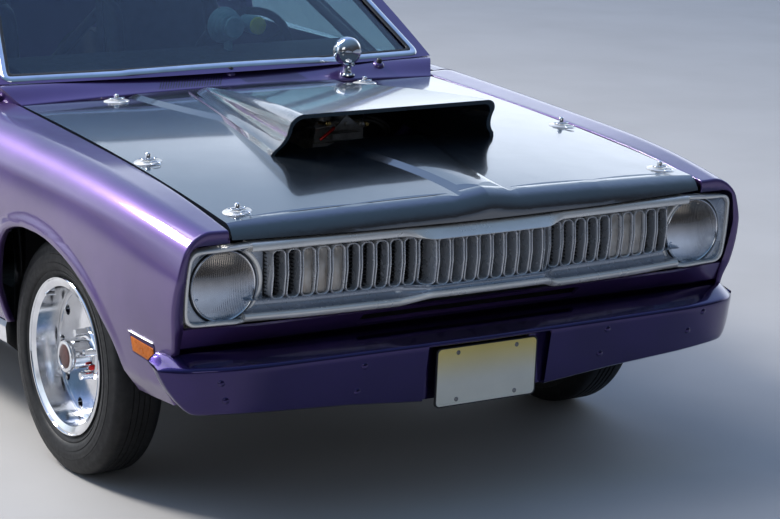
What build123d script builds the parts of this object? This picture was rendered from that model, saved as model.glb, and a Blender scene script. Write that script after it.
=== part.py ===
from build123d import *
import math
import os

# Two-door fastback coupe set up for drag racing, in millimetres.
# The model is laid out with X across, Y rearward from the front axle and Z up from the road,
# and save() moves it so that the origin is below the middle of the car.

# Driving dimensions
LENGTH = 4785
FRONT_OVERHANG = 765
WHEELBASE = 2743
HALF_WIDTH = 909
SHIFT_Y = -(LENGTH / 2 - FRONT_OVERHANG)

# The body was laid out higher; it sits this much lower on its wheels
BODY_DROP = 22
FRONT_TYRE_R = 315
FRONT_TYRE_W = 154
FRONT_WHEEL_X = 760
FRONT_RIM_R = 208
REAR_TYRE_R = 345
REAR_TYRE_W = 272
REAR_WHEEL_X = 742
REAR_RIM_R = 208

STEER_AXIS_X = 716
DOOR_FRONT_Y = 636
DOOR_GAP = 9
DOOR_REAR_Y = 1857
DOOR_REAR_DRAFT = 0.25
DECK_FRONT_Y = 2935
DECK_REAR_Y = 3880
PANEL_GAP = 5

# Half sections of the body side, from the top's inner edge to the sill:
# y, then x and z of the inner edge, shoulder, widest point, lower side and bottom
SIDE_TABLE = {
    "nose": (-705, (724, 800), (846, 745), (862, 676), (846, 540), (822, 368)),
    "bumper": (-450, (715, 836), (868, 772), (883, 678), (869, 500), (845, 366)),
    "axle": (0, (704, 873), (880, 790), (892, 688), (873, 480), (838, 362)),
    "behind_wheel": (330, (697, 890), (889, 798), (900, 680), (876, 470), (830, 352)),
    "door_front": (DOOR_FRONT_Y, (690, 905), (894, 802), (905, 670), (884, 455), (832, 352)),
    "door_middle": (1250, (690, 915), (898, 806), (HALF_WIDTH, 656), (888, 440), (834, 352)),
    "door_rear": (1866, (690, 927), (899, 814), (HALF_WIDTH, 662), (889, 440), (834, 352)),
    "hip": (2350, (690, 948), (898, 826), (HALF_WIDTH, 676), (888, 450), (836, 356)),
    "rear_axle": (2900, (640, 962), (889, 826), (904, 690), (886, 480), (840, 380)),
    "tail": (3925, (604, 890), (842, 778), (852, 690), (840, 520), (812, 440)),
}
CROWN_RISE = 0.03

# Greenhouse along the car: y, half width at the belt, half width at the roof rail
GREENHOUSE_TABLE = ((500, 756, 604), (1250, 776, 604), (1950, 770, 598), (2950, 690, 560))
GREENHOUSE_FLOOR_Z = 860
GREENHOUSE_RAIL_Z = 1290
ROOF_PEAK = (1640, 1335)
ROOF_ARC_R = 3300
ROOF_CROWN_R = 3260
WINDSHIELD_BASE = (625, 955)
WINDSHIELD_HEAD = (1122, 1300)
WINDSHIELD_R = 9000
BACKLIGHT_HEAD = (2150, 1302)
BACKLIGHT_BASE = (2915, 958)
BACKLIGHT_R = 6000
ROOF_THICKNESS = 34
GLASS_INSET = 5
GLASS_THICKNESS = 5

PARTS = {}


def save(name, *shapes, drop=BODY_DROP):
    """Keep the solids of one sub-part, moved to the part's own frame."""
    solids = []
    for shape in shapes:
        solids.extend(shape.solids())
    moved = [s.moved(Location((0, SHIFT_Y, -drop))) for s in solids]
    PARTS[name] = Compound(children=moved)


def both_sides(shape):
    """A piece on the car's left and its mirror image on the right."""
    return [shape, mirror(shape, about=Plane.YZ)]


def block(x0, x1, y0, y1, z0, z1):
    """An upright block between two corners."""
    box = Box(x1 - x0, y1 - y0, z1 - z0)
    return box.moved(Location(((x0 + x1) / 2, (y0 + y1) / 2, (z0 + z1) / 2)))


def prism_x(points, x0, x1):
    """A side profile of (y, z) points, drawn out along X."""
    wire = Polyline(*[(x0, y, z) for y, z in points], close=True)
    return extrude(make_face(wire), amount=x1 - x0, dir=(1, 0, 0))


def prism_y(points, y0, y1):
    """A front profile of (x, z) points, drawn out along Y."""
    wire = Polyline(*[(x, y0, z) for x, z in points], close=True)
    return extrude(make_face(wire), amount=y1 - y0, dir=(0, 1, 0))


def rod(start, end, radius):
    """A round bar between two points."""
    a, b = Vector(*start), Vector(*end)
    plane = Plane(origin=a, z_dir=b - a)
    return extrude(plane * Circle(radius), amount=(b - a).length)


def ball(at, radius):
    return Sphere(radius).moved(Location(at))


def bent_tube(points, radius):
    """Round bars along a route, with a ball in each bend."""
    shape = rod(points[0], points[1], radius)
    for a, b in zip(points[1:], points[2:]):
        shape = shape + ball(a, radius) + rod(a, b, radius)
    return shape


def corner_arc(inner, shoulder, widest, lower):
    """Start and middle of the crown's arc, which runs smoothly from the top line into the shoulder."""
    lean_up = math.atan2(widest[0] - shoulder[0], shoulder[1] - widest[1])
    lean_down = math.atan2(lower[0] - widest[0], widest[1] - lower[1])
    upper, under = math.dist(shoulder, widest), math.dist(widest, lower)
    lean = lean_up + (lean_up - lean_down) * upper / (upper + under)
    rise = math.atan(CROWN_RISE)
    reach = shoulder[0] - inner[0]
    above = inner[1] + CROWN_RISE * reach - shoulder[1]
    leg = above / (math.cos(lean) + CROWN_RISE * math.sin(lean))
    corner = (shoulder[0] - leg * math.sin(lean), shoulder[1] + leg * math.cos(lean))
    crown = (corner[0] - leg * math.cos(rise), corner[1] - leg * math.sin(rise))
    turn = math.pi / 2 - lean + rise
    share = 0.5 * math.tan(turn / 4)
    dx, dz = shoulder[0] - crown[0], shoulder[1] - crown[1]
    middle = ((crown[0] + shoulder[0]) / 2 - share * dz, (crown[1] + shoulder[1]) / 2 + share * dx)
    return crown, middle


def side_wire(row, wall):
    """One closed section of a body side panel: its outer line and, a wall further in, its inner line."""
    y, inner, shoulder, widest, lower, bottom = row
    crown, mid = corner_arc(inner, shoulder, widest, lower)
    inner_in = (inner[0], inner[1] - wall)
    shoulder_in = (shoulder[0] - wall, shoulder[1] - 0.3 * wall)
    widest_in = (widest[0] - wall, widest[1])
    lower_in = (lower[0] - wall, lower[1])
    bottom_in = (bottom[0] - wall, bottom[1])
    crown_in, mid_in = corner_arc(inner_in, shoulder_in, widest_in, lower_in)

    def at(p):
        return (p[0], y, p[1])

    edges = [
        Line(at(inner), at(crown)),
        ThreePointArc(at(crown), at(mid), at(shoulder)),
        ThreePointArc(at(shoulder), at(widest), at(lower)),
        Line(at(lower), at(bottom)),
        Line(at(bottom), at(bottom_in)),
        Line(at(bottom_in), at(lower_in)),
        ThreePointArc(at(lower_in), at(widest_in), at(shoulder_in)),
        ThreePointArc(at(shoulder_in), at(mid_in), at(crown_in)),
        Line(at(crown_in), at(inner_in)),
        Line(at(inner_in), at(inner)),
    ]
    return Wire([e.edge() for e in edges])


def side_panel(rows, wall):
    """A body side panel lofted through its sections, on the car's left."""
    walls = wall if isinstance(wall, tuple) else (wall,) * len(rows)
    return Solid.make_loft([side_wire(row, w) for row, w in zip(rows, walls)])


# Greenhouse

def greenhouse(inset):
    """The closed volume of roof, pillars and glass, pulled in by an inset."""
    sections = []
    for y, belt, rail in GREENHOUSE_TABLE:
        points = [
            (-(belt - inset), y, GREENHOUSE_FLOOR_Z),
            (-(rail - inset), y, GREENHOUSE_RAIL_Z),
            (-(rail - 60 - inset), y, 1400),
            (rail - 60 - inset, y, 1400),
            (rail - inset, y, GREENHOUSE_RAIL_Z),
            (belt - inset, y, GREENHOUSE_FLOOR_Z),
        ]
        middle = (belt + rail) / 2 + 12 - inset
        height = (GREENHOUSE_FLOOR_Z + GREENHOUSE_RAIL_Z) / 2
        edges = [
            ThreePointArc(points[0], (-middle, y, height), points[1]),
            Line(points[1], points[2]),
            Line(points[2], points[3]),
            Line(points[3], points[4]),
            ThreePointArc(points[4], (middle, y, height), points[5]),
            Line(points[5], points[0]),
        ]
        sections.append(Wire([e.edge() for e in edges]))
    shape = Solid.make_loft(sections)
    shape = shape & roof_volume(inset)
    shape = shape & slope_volume(WINDSHIELD_BASE, WINDSHIELD_HEAD, WINDSHIELD_R, inset, 1)
    return shape & slope_volume(BACKLIGHT_BASE, BACKLIGHT_HEAD, BACKLIGHT_R, inset, -1)


def roof_volume(inset):
    """All that lies below the doubly curved roof skin."""
    peak_y, peak_z = ROOF_PEAK
    top = peak_z - inset
    half = 900
    drop = ROOF_CROWN_R - math.sqrt(ROOF_CROWN_R**2 - half**2)
    centre_z = peak_z - ROOF_ARC_R
    edges = [
        ThreePointArc((-half, peak_y, top - drop), (0, peak_y, top), (half, peak_y, top - drop)),
        Line((half, peak_y, top - drop), (half, peak_y, centre_z + 500)),
        Line((half, peak_y, centre_z + 500), (-half, peak_y, centre_z + 500)),
        Line((-half, peak_y, centre_z + 500), (-half, peak_y, top - drop)),
    ]
    face = make_face(Wire([e.edge() for e in edges]))
    axis = Axis((0, peak_y, centre_z), (1, 0, 0))
    return revolve(face, axis, 360)


def slope_volume(base, head, radius, inset, side):
    """All that lies behind a bowed and sloping window; side is 1 for the front and -1 for the back."""
    base_y, base_z = base
    head_y, head_z = head
    length = math.hypot(head_y - base_y, head_z - base_z)
    along = Vector(0, (head_y - base_y) / length, (head_z - base_z) / length)
    inward = Vector(0, along.Z, -along.Y) * side
    start = Vector(0, base_y, base_z) + inward * (radius + inset) - along * 3000
    plane = Plane(origin=start, x_dir=(1, 0, 0), z_dir=along)
    return extrude(plane * Circle(radius), amount=6000)


def slope_cutter(base, head, outline):
    """A block through a sloping window; the outline's points are (x, share of the slope from base to head)."""
    base_y, base_z = base
    head_y, head_z = head
    length = math.hypot(head_y - base_y, head_z - base_z)
    along = Vector(0, (head_y - base_y) / length, (head_z - base_z) / length)
    across = Vector(0, along.Z, -along.Y)
    origin = Vector(0, base_y, base_z) - across * 260
    points = [origin + Vector(x, 0, 0) + along * (length * share) for x, share in outline]
    wire = Polyline(*points, close=True)
    return extrude(make_face(wire), amount=520, dir=across)


def mirrored(points):
    """Close an outline of half points with their mirror images."""
    return points + [(-x, s) for x, s in reversed(points)]


# Window outlines: half width and share of the slope from base to head
WINDSHIELD_OPENING = mirrored([(340, 0.045), (682, 0.088), (562, 0.90), (520, 0.955)])
WINDSHIELD_GLASS = mirrored([(340, 0.052), (678, 0.096), (558, 0.895), (518, 0.947)])
BACKLIGHT_OPENING = mirrored([(300, 0.065), (600, 0.16), (540, 0.90), (500, 0.95)])
BACKLIGHT_GLASS = mirrored([(300, 0.072), (596, 0.168), (537, 0.896), (498, 0.944)])
# Side openings as (y, z) outlines: the door's, the glass within its frame, and the quarter glass
DOOR_OPENING = [(735, 890), (1196, 1222), (1260, 1247), (1500, 1262), (1900, 1258), (1900, 890)]
DOOR_FRAME = [(753, 893), (1204, 1216), (1264, 1240), (1500, 1254), (1900, 1250), (1900, 895)]
DOOR_LIGHT = [(800, 920), (1218, 1199), (1270, 1216), (1500, 1229), (1748, 1226), (1800, 920)]
QUARTER_OPENING = [(1880, 968), (2250, 982), (2318, 1010), (2322, 1060), (2200, 1222), (2150, 1242), (1840, 1252)]
BEHIND_EVERYTHING = 2600


def door_rear_face(y_at_edge):
    """A block that holds all behind the door's drafted rear face, on the car's left."""
    points = [
        (HALF_WIDTH + 60, y_at_edge + 60 * DOOR_REAR_DRAFT),
        (0, y_at_edge - HALF_WIDTH * DOOR_REAR_DRAFT),
        (0, y_at_edge + BEHIND_EVERYTHING),
        (HALF_WIDTH + 60, y_at_edge + BEHIND_EVERYTHING),
    ]
    wire = Polyline(*[(x, y, 100) for x, y in points], close=True)
    return extrude(make_face(wire), amount=1400, dir=(0, 0, 1))


outer_house = greenhouse(0)
inner_house = greenhouse(ROOF_THICKNESS)
shell = outer_house - inner_house
glass_shell = greenhouse(GLASS_INSET) - greenhouse(GLASS_INSET + GLASS_THICKNESS)
frame_shell = greenhouse(0) - greenhouse(26)

# The roof with its pillars stands on the belt line
roof = shell - slope_cutter(WINDSHIELD_BASE, WINDSHIELD_HEAD, WINDSHIELD_OPENING)
roof = roof - slope_cutter(BACKLIGHT_BASE, BACKLIGHT_HEAD, BACKLIGHT_OPENING)
door_hole = prism_x(DOOR_OPENING, 0, 1000) - door_rear_face(DOOR_REAR_Y + DOOR_GAP)
for hole in both_sides(door_hole) + both_sides(prism_x(QUARTER_OPENING, 0, 1000)):
    roof = roof - hole
BELT_CUT = [(400, 700), (400, 948), (735, 948), (735, 940), (1700, 940), (1860, 931), (2350, 952), (2920, 966),
            (3100, 966), (3100, 700)]
roof = roof - prism_x(BELT_CUT, -1000, 1000)
save("roof_panel", roof.solids().sort_by(SortBy.VOLUME)[-1])
save("windshield", glass_shell & slope_cutter(WINDSHIELD_BASE, WINDSHIELD_HEAD, WINDSHIELD_GLASS))
save("backlight", glass_shell & slope_cutter(BACKLIGHT_BASE, BACKLIGHT_HEAD, BACKLIGHT_GLASS))
quarter_light = [(y + (4 if y < 2000 else -4), z + (3 if z < 1100 else -3)) for y, z in QUARTER_OPENING]
save("quarter_glass", *both_sides(glass_shell & prism_x(quarter_light, 300, 1000)))

# Front fenders with their wheel arches

FENDER_WALLS = (32, 30, 30, 30, 30)
SILL_FRONT_Y = 352
FRONT_ARCH = [
    (332, 200), (332, 400), (322, 445), (302, 490), (274, 550), (250, 598), (212, 638), (158, 659), (100, 669),
    (30, 669), (-40, 662), (-110, 646), (-170, 627), (-235, 598), (-290, 562), (-330, 522), (-358, 482), (-376, 440),
    (-394, 395), (-440, 200),
]
NOSE_PROFILE = [(-900, 200), (-588, 200), (-590, 512), (-646, 518), (-662, 562), (-688, 690), (-690, 770), (-684, 812),
                (-684, 900), (-900, 900)]
fender = side_panel([SIDE_TABLE[k] for k in ("nose", "bumper", "axle", "behind_wheel", "door_front")], FENDER_WALLS)
fender = fender - prism_x(FRONT_ARCH, 500, 1000) - prism_x(NOSE_PROFILE, 500, 1000)
fender = fender - block(600, 1000, 300, 700, 200, 352)
MARKER_BOX = (847, 874, -582, -472, 478, 528)
fender = fender - block(846, 920, -583, -471, 477, 529)
save("front_fenders", *both_sides(fender))
save("marker_lamps", *both_sides(block(*MARKER_BOX)))

# Doors as thick as the real door, with the window frame


def door_wire(row):
    """A closed section of a door, from the outer skin to the trim inside."""
    y, inner, shoulder, widest, lower, bottom = row
    crown, mid = corner_arc(inner, shoulder, widest, lower)

    def at(p):
        return (p[0], y, p[1])

    edges = [
        Line(at((738, inner[1])), at(crown)),
        ThreePointArc(at(crown), at(mid), at(shoulder)),
        ThreePointArc(at(shoulder), at(widest), at(lower)),
        Line(at(lower), at(bottom)),
        Line(at(bottom), at((772, bottom[1]))),
        Line(at((772, bottom[1])), at((800, 640))),
        Line(at((800, 640)), at((738, inner[1]))),
    ]
    return Wire([e.edge() for e in edges])


door_rows = [SIDE_TABLE[k] for k in ("door_front", "door_middle", "door_rear")]
door = Solid.make_loft([door_wire(row) for row in door_rows])
door = door - block(600, 1000, 500, DOOR_FRONT_Y + DOOR_GAP, 200, 1100)
window_frame = frame_shell & (prism_x(DOOR_FRAME, 300, 1000) - prism_x(DOOR_LIGHT, 300, 1000))
door = door + window_frame
door = door - door_rear_face(DOOR_REAR_Y) - block(600, 1000, 500, 1900, 300, 358)
door = door.solids().sort_by(SortBy.VOLUME)[-1]
door_glass = glass_shell & (prism_x(DOOR_LIGHT, 300, 1000) - door_rear_face(DOOR_REAR_Y - 40))
door_glass = door_glass - door
left, right = both_sides(door)
save("door_left", left)
save("door_right", right)
left, right = both_sides(door_glass)
save("door_glass_left", left)
save("door_glass_right", right)

# Quarter panels

QUARTER_WALL = 55
QUARTER_JOIN_Y = 2094
REAR_ARCH_R = 378
quarter = side_panel([SIDE_TABLE[k] for k in ("door_rear", "hip", "rear_axle", "tail")], QUARTER_WALL)
quarter_front = side_panel([SIDE_TABLE[k] for k in ("door_middle", "door_rear", "hip")], QUARTER_WALL)
quarter_front = quarter_front & (door_rear_face(DOOR_REAR_Y + DOOR_GAP) - door_rear_face(QUARTER_JOIN_Y))
quarter_rear = quarter & door_rear_face(QUARTER_JOIN_Y)
REAR_HUB_Z = REAR_TYRE_R + BODY_DROP
rear_arch = rod((500, WHEELBASE, REAR_HUB_Z), (1000, WHEELBASE, REAR_HUB_Z), REAR_ARCH_R)
rear_arch = rear_arch + block(500, 1000, WHEELBASE - REAR_ARCH_R, WHEELBASE + REAR_ARCH_R, 100, REAR_HUB_Z)
quarter = quarter_front + quarter_rear
quarter = quarter - rear_arch
deck_plan = Polyline((0, 2905, 500), (640, 2905, 500), (638, 2935, 500), (606, 3886, 500), (0, 3886, 500), close=True)
quarter = quarter - extrude(make_face(deck_plan), amount=600, dir=(0, 0, 1))
quarter = quarter.solids().sort_by(SortBy.VOLUME)[-1]
save("quarter_panels", *both_sides(quarter))

# Front end

def loft_stations(stations, ruled=False):
    """A solid through closed outlines; each station is a list of (x, y, z) corners."""
    wires = []
    for points in stations:
        wires.append(Wire([Line(a, b).edge() for a, b in zip(points, points[1:] + points[:1])]))
    return Solid.make_loft(wires, ruled)


def across_x(table, ruled=False):
    """Side outlines of (y, z) points at stations along X: rows of x and outline."""
    return loft_stations([[(x, y, z) for y, z in outline] for x, outline in table], ruled)


def face_y(x, z):
    """The front plane of the lamp bezels, which lean forward at the top and sweep back outward."""
    return -709 + 0.117 * (x - 625) - 0.126 * (z - 762)


BEZEL_IN, BEZEL_OUT = 627, 830
LAMP = (721, -652, 661)
LAMP_R = 89
bezel = across_x([(x, [(face_y(x, top), top), (face_y(x, low), low), (-640, low), (-640, top)])
                  for x, low, top in ((BEZEL_IN, 569, 765), (BEZEL_OUT - 26, 569, 754), (BEZEL_OUT, 590, 738))], True)
lamp_x, lamp_y, lamp_z = LAMP
dish = extrude(Plane(origin=(lamp_x, -630, lamp_z), z_dir=(0, -1, 0)) * Circle(LAMP_R + 1), amount=105)
bezel = bezel - dish - fender
bezel = bezel.solids().sort_by(SortBy.VOLUME)[-1]
save("headlamp_bezels", *both_sides(bezel))
LAMP_BACK = -612
DOME_R = 214
dome = ball((lamp_x, lamp_y + 195, lamp_z), DOME_R)
lamp = rod((lamp_x, LAMP_BACK, lamp_z), (lamp_x, lamp_y - 30, lamp_z), LAMP_R) & dome
save("headlamps", *both_sides(lamp))

# Grille: a surround with a channel below, a dark mesh behind, and a row of tall loops with a kink at mid height
GRILLE_HALF = 625
CENTRE_HALF, CENTRE_FADE = 164, 250
CENTRE_STEP = 30
LOOPS_PER_SIDE = 15
LOOP_PITCH = 40.5
LOOP_W, LOOP_WALL = 34, 5
LOOP_LOW, LOOP_TOP = 621, 745


def side_y(x):
    """Front line of the grille in plan without its centre section."""
    return -722 + 27 * (x / GRILLE_HALF) ** 2


def trim_station(x, side_line, centre_line):
    """A section of the surround at x, blended from the side's outline to the centre section's."""
    share = min(1, max(0, (CENTRE_FADE - abs(x)) / (CENTRE_FADE - CENTRE_HALF)))
    y = side_y(x) - CENTRE_STEP * share
    points = [(y + a[0] + share * (b[0] - a[0]), a[1] + share * (b[1] - a[1])) for a, b in zip(side_line, centre_line)]
    return x, points


STATIONS_X = (-GRILLE_HALF, -CENTRE_FADE, -CENTRE_HALF, 0, CENTRE_HALF, CENTRE_FADE, GRILLE_HALF)
UPPER_SIDE = [(-4, 750), (-2, 770), (45, 770), (45, 743)]
UPPER_CENTRE = [(-4, 745), (22, 770), (75, 770), (75, 741)]
LOWER_SIDE = [(18, 566), (12, 584), (36, 594), (38, 612), (12, 622), (46, 623), (46, 566)]
LOWER_CENTRE = [(10, 588), (2, 603), (10, 608), (12, 615), (8, 622), (76, 623), (76, 588)]
upper = across_x([trim_station(x, UPPER_SIDE, UPPER_CENTRE) for x in STATIONS_X], True)
lower = across_x([trim_station(x, LOWER_SIDE, LOWER_CENTRE) for x in STATIONS_X], True)
mesh = across_x([(x, [(side_y(x) + 42, 620), (side_y(x) + 42, 748), (side_y(x) + 52, 748), (side_y(x) + 52, 620)])
                 for x in STATIONS_X], True)
grille = upper + lower + mesh


def grille_loop(depth):
    """One tall loop, kinked forward at mid height."""
    outline = [(9, LOOP_LOW), (0, 684), (5, LOOP_TOP), (depth, LOOP_TOP), (depth, LOOP_LOW)]
    outer = prism_x(outline, -LOOP_W / 2, LOOP_W / 2)
    half = LOOP_W / 2 - LOOP_WALL
    return outer - block(-half, half, -20, depth + 20, LOOP_LOW + LOOP_WALL + 2, LOOP_TOP - LOOP_WALL - 2)


side_loop, centre_loop = grille_loop(46), grille_loop(46 + CENTRE_STEP)
for side in (-1, 1):
    for k in range(LOOPS_PER_SIDE):
        x = side * (k + 0.5) * LOOP_PITCH
        if abs(x) < CENTRE_HALF:
            grille = grille + centre_loop.moved(Location((x, side_y(x) - CENTRE_STEP, 0)))
        else:
            grille = grille + side_loop.moved(Location((x, side_y(x), 0)))
save("grille", grille)

# Front bumper: a deep channel whose face leans back below its ridge, with slanting ends
BUMPER_TOP = 500
BUMPER_LOW = 341
BUMPER_TABLE = ((0, -765, 482), (420, -757, 482), (720, -734, 484), (840, -690, 486), (892, -632, 486))
BUMPER_REAR = -592
SKIN = 20


def bumper_outline(ridge_y, ridge_z):
    """One side section of the bumper, a channel that is open to the rear."""
    lean = 24
    low_y = ridge_y + lean
    back = min(low_y + SKIN, BUMPER_REAR)
    return [(BUMPER_REAR, BUMPER_TOP + 4), (ridge_y + 14, BUMPER_TOP - 2), (ridge_y, ridge_z),
            (low_y, BUMPER_LOW), (back, BUMPER_LOW), (min(ridge_y + SKIN + 8, BUMPER_REAR), BUMPER_TOP - 26),
            (BUMPER_REAR, BUMPER_TOP - 16)]


rows = [(x, bumper_outline(y, z)) for x, y, z in BUMPER_TABLE]
half_bumper = across_x(rows, True)
BUMPER_END = [(889, 474), (868, 430), (833, 377), (802, BUMPER_LOW), (802, 300), (930, 300), (930, 474)]
half_bumper = half_bumper - prism_y(BUMPER_END, -900, -500)
RECESS = 190
bumper = half_bumper + mirror(half_bumper, about=Plane.YZ)
bumper = bumper - block(-RECESS, RECESS, -800, -736, 300, 462)
bumper = bumper + block(-RECESS, RECESS, -738, -722, BUMPER_LOW, 470)
save("front_bumper", bumper)
plate = prism_x([(-744, 455), (-740, 303), (-738, 303), (-738, 455)], -152.4, 152.4)
save("licence_plate", plate - bumper)
VALANCE = prism_x([(-690, 562), (-640, 512), (-600, 508), (-600, 345), (-590, 345), (-590, 516), (-634, 520),
                   (-680, 564)], -815, 815)
SLOT_HALF, SLOT_LOW, SLOT_TOP = 335, 522, 552
valance_pieces = []
for x0, x1, z0, z1 in ((-815, -SLOT_HALF, 300, 600), (SLOT_HALF, 815, 300, 600), (-SLOT_HALF, SLOT_HALF, SLOT_TOP, 600),
                       (-SLOT_HALF, SLOT_HALF, 300, SLOT_LOW)):
    piece = VALANCE & block(x0, x1, -800, -500, z0, z1)
    piece = piece - fender - mirror(fender, about=Plane.YZ) - bumper
    valance_pieces.append(piece.solids().sort_by(SortBy.VOLUME)[-1])
save("front_valance", *valance_pieces)

# Hood: a crowned panel with a centre rise, a rolled nose and the scoop
HOOD_REAR = 570
# y, x and z of the side edge, half width and z of the centre rise, z on the centre line
HOOD_TABLE = ((-790, 722, 797, 60, 835, 838), (-450, 710, 836, 72, 873, 877), (0, 699, 873, 205, 902, 906),
              (590, 685, 901, 330, 912, 914))
RISE_DROP = 9
RISE_RUN = 26


def hood_volume(drop, inset):
    """All that lies below the hood's skin, lowered and pulled in."""
    wires = []
    for y, edge_x, edge_z, rise_x, rise_z, centre_z in HOOD_TABLE:
        foot = (rise_x + RISE_RUN, rise_z - RISE_DROP)
        middle = ((edge_x + foot[0]) / 2, edge_z + 0.68 * (foot[1] - edge_z))
        right = [(edge_x - inset, edge_z), middle, foot, (rise_x, rise_z)]

        def at(p, side=1):
            return (side * p[0], y, p[1] - drop)

        edges = [
            ThreePointArc(at(right[0]), at(right[1]), at(right[2])),
            Line(at(right[2]), at(right[3])),
            ThreePointArc(at(right[3]), (0, y, centre_z - drop), at(right[3], -1)),
            Line(at(right[3], -1), at(right[2], -1)),
            ThreePointArc(at(right[2], -1), at(right[1], -1), at(right[0], -1)),
            Line(at(right[0], -1), (-edge_x + inset, y, 600)),
            Line((-edge_x + inset, y, 600), (edge_x - inset, y, 600)),
            Line((edge_x - inset, y, 600), at(right[0])),
        ]
        wires.append(Wire([e.edge() for e in edges]))
    return Solid.make_loft(wires)


def skin_z(x, y):
    """Height of the hood's skin, between the rows of its table."""
    rows = [row for row in HOOD_TABLE if row[0] >= y]
    after = HOOD_TABLE.index(rows[0]) if rows else len(HOOD_TABLE) - 1
    first, second = HOOD_TABLE[max(0, after - 1)], HOOD_TABLE[max(1, after)]
    share = (y - first[0]) / (second[0] - first[0])
    _, edge_x, edge_z, rise_x, rise_z, centre_z = [a + share * (b - a) for a, b in zip(first, second)]
    across = abs(x)
    if across <= rise_x:
        return centre_z + (rise_z - centre_z) * (across / rise_x) ** 2
    if across <= rise_x + RISE_RUN:
        return rise_z - RISE_DROP * (across - rise_x) / RISE_RUN
    foot_x, foot_z = rise_x + RISE_RUN, rise_z - RISE_DROP
    part = (across - foot_x) / (edge_x - foot_x)
    return foot_z + (edge_z - foot_z) * part * (1 + 0.36 * 2 * (part - 1))


NOSE_ROLL = 58
NOSE_FRONTS = ((-730, -684), (-365, -726), (-100, -739), (0, -740), (100, -739), (365, -726), (730, -684))


def nose_volume(inset):
    """All that lies behind the hood's rolled nose, which bows forward at the middle."""
    wires = []
    for x, front in NOSE_FRONTS:
        y = front + inset
        far = min(abs(x), 715)
        top = skin_z(far, front + NOSE_ROLL) + 1 - inset
        slope = (skin_z(far, front + NOSE_ROLL + 60) - skin_z(far, front + NOSE_ROLL)) / 60
        low = (y, top - NOSE_ROLL)
        bulge = NOSE_ROLL * (1 - math.sqrt(0.5))
        edges = [
            Line((x, y, 600), (x, *low)),
            ThreePointArc((x, *low), (x, y + bulge, top - bulge + 2), (x, y + NOSE_ROLL, top)),
            Line((x, y + NOSE_ROLL, top), (x, y + 500, top + slope * (500 - NOSE_ROLL) + 60)),
            Line((x, y + 500, top + slope * (500 - NOSE_ROLL) + 60), (x, 700, 1200)),
            Line((x, 700, 1200), (x, 700, 600)),
            Line((x, 700, 600), (x, y, 600)),
        ]
        wires.append(Wire([e.edge() for e in edges]))
    return Solid.make_loft(wires, True)


# y, half width and z of the flange at the foot, half width at the shoulder, top
SCOOP_TABLE = ((-330, 360, 884, 320, 991), (0, 303, 904, 262, 979), (510, 192, 919, 140, 930))
FLANGE_RUN = 20
SIDE_HOLLOW = 9
SCOOP_CORNER_R = 30


def scoop_volume(inset):
    """The scoop's outer form with its hollow sides, or the hollow inside it."""
    wires = []
    for y, foot, foot_z, shoulder, top in SCOOP_TABLE:
        r = min(SCOOP_CORNER_R, 0.4 * (top - foot_z)) - inset / 2
        f, t, z = foot - inset, shoulder - inset, top - inset
        out = (f + FLANGE_RUN, 850)
        flange = (f, foot_z)
        turn = (t + 10, z - r)
        hollow = ((flange[0] + turn[0]) / 2 - SIDE_HOLLOW, (flange[1] + turn[1]) / 2 - 3)
        bend = (t - 0.29 * r + 6, z - 0.29 * r)
        flat = (t - r + 6, z)

        def at(p, side=1):
            return (side * p[0], y, p[1])

        edges = [
            Line(at(out), at(flange)),
            ThreePointArc(at(flange), at(hollow), at(turn)),
            ThreePointArc(at(turn), at(bend), at(flat)),
            Line(at(flat), at(flat, -1)),
            ThreePointArc(at(flat, -1), at(bend, -1), at(turn, -1)),
            ThreePointArc(at(turn, -1), at(hollow, -1), at(flange, -1)),
            Line(at(flange, -1), at(out, -1)),
            Line(at(out, -1), at(out)),
        ]
        wires.append(Wire([e.edge() for e in edges]))
    return Solid.make_loft(wires)


PIN_PLACES = ((650, -593, 806, 846), (656, -134, 798, 890), (413, 530, 790, 922))
hood = (hood_volume(0, PANEL_GAP) & nose_volume(0)) - (hood_volume(24, 24) & nose_volume(16))
under = prism_x([(-900, 500), (-900, 776), (-690, 778), (-450, 806), (0, 846), (HOOD_REAR, 876), (700, 880),
                 (700, 500)], -900, 900)
hood = hood - under - block(-900, 900, HOOD_REAR, 800, 500, 1100)
mouth = prism_x([(-500, 780), (-187, 780), (-240, 884), (-299, 1000), (-500, 1000)], -500, 500)
scoop_wall = scoop_volume(0) - scoop_volume(12) - mouth
scoop_wall = scoop_wall - hood_volume(4, 0)
carb_hole = block(-230, 230, -205, 250, 600, 960)
hood = hood - carb_hole + scoop_wall.solids().sort_by(SortBy.VOLUME)[-1]
for x, y, low, high in PIN_PLACES:
    for side in (-1, 1):
        hood = hood - rod((side * x, y, 700), (side * x, y, 1000), 14)
hood = hood.solids().sort_by(SortBy.VOLUME)[-1]
save("hood", hood)
pins = [rod((side * x, y, low), (side * x, y, high), 6) for x, y, low, high in PIN_PLACES for side in (-1, 1)]
save("hood_pins", *pins)

# Cowl between the hood and the windshield, with the hinge pillars' tops
COWL_TABLE = [(x, [(576, z), (640, z + rise), (715, z + rise), (715, z + rise - 16), (640, z + rise - 16),
                   (576, z - 16)]) for x, z, rise in ((-684, 901, 45), (-340, 911, 35), (0, 915, 31), (340, 911, 35),
                                                      (684, 901, 45))]
cowl = across_x(COWL_TABLE, True)
for side in (-1, 1):
    low, high = sorted((side * 676, side * 731))
    cowl = cowl + block(low, high, 642, 735, 880, 946)
save("cowl_panel", cowl)

# Inner structure
INNER_FENDER = [(505, 430), (513, 430), (513, 658), (608, 756), (743, 756), (743, 900), (735, 900), (735, 764),
                (604, 764), (505, 662)]
inner_fender = prism_y(INNER_FENDER, -570, 594)
inner_fender = (inner_fender - fender).solids().sort_by(SortBy.VOLUME)[-1]
save("inner_fenders", *both_sides(inner_fender))

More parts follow.
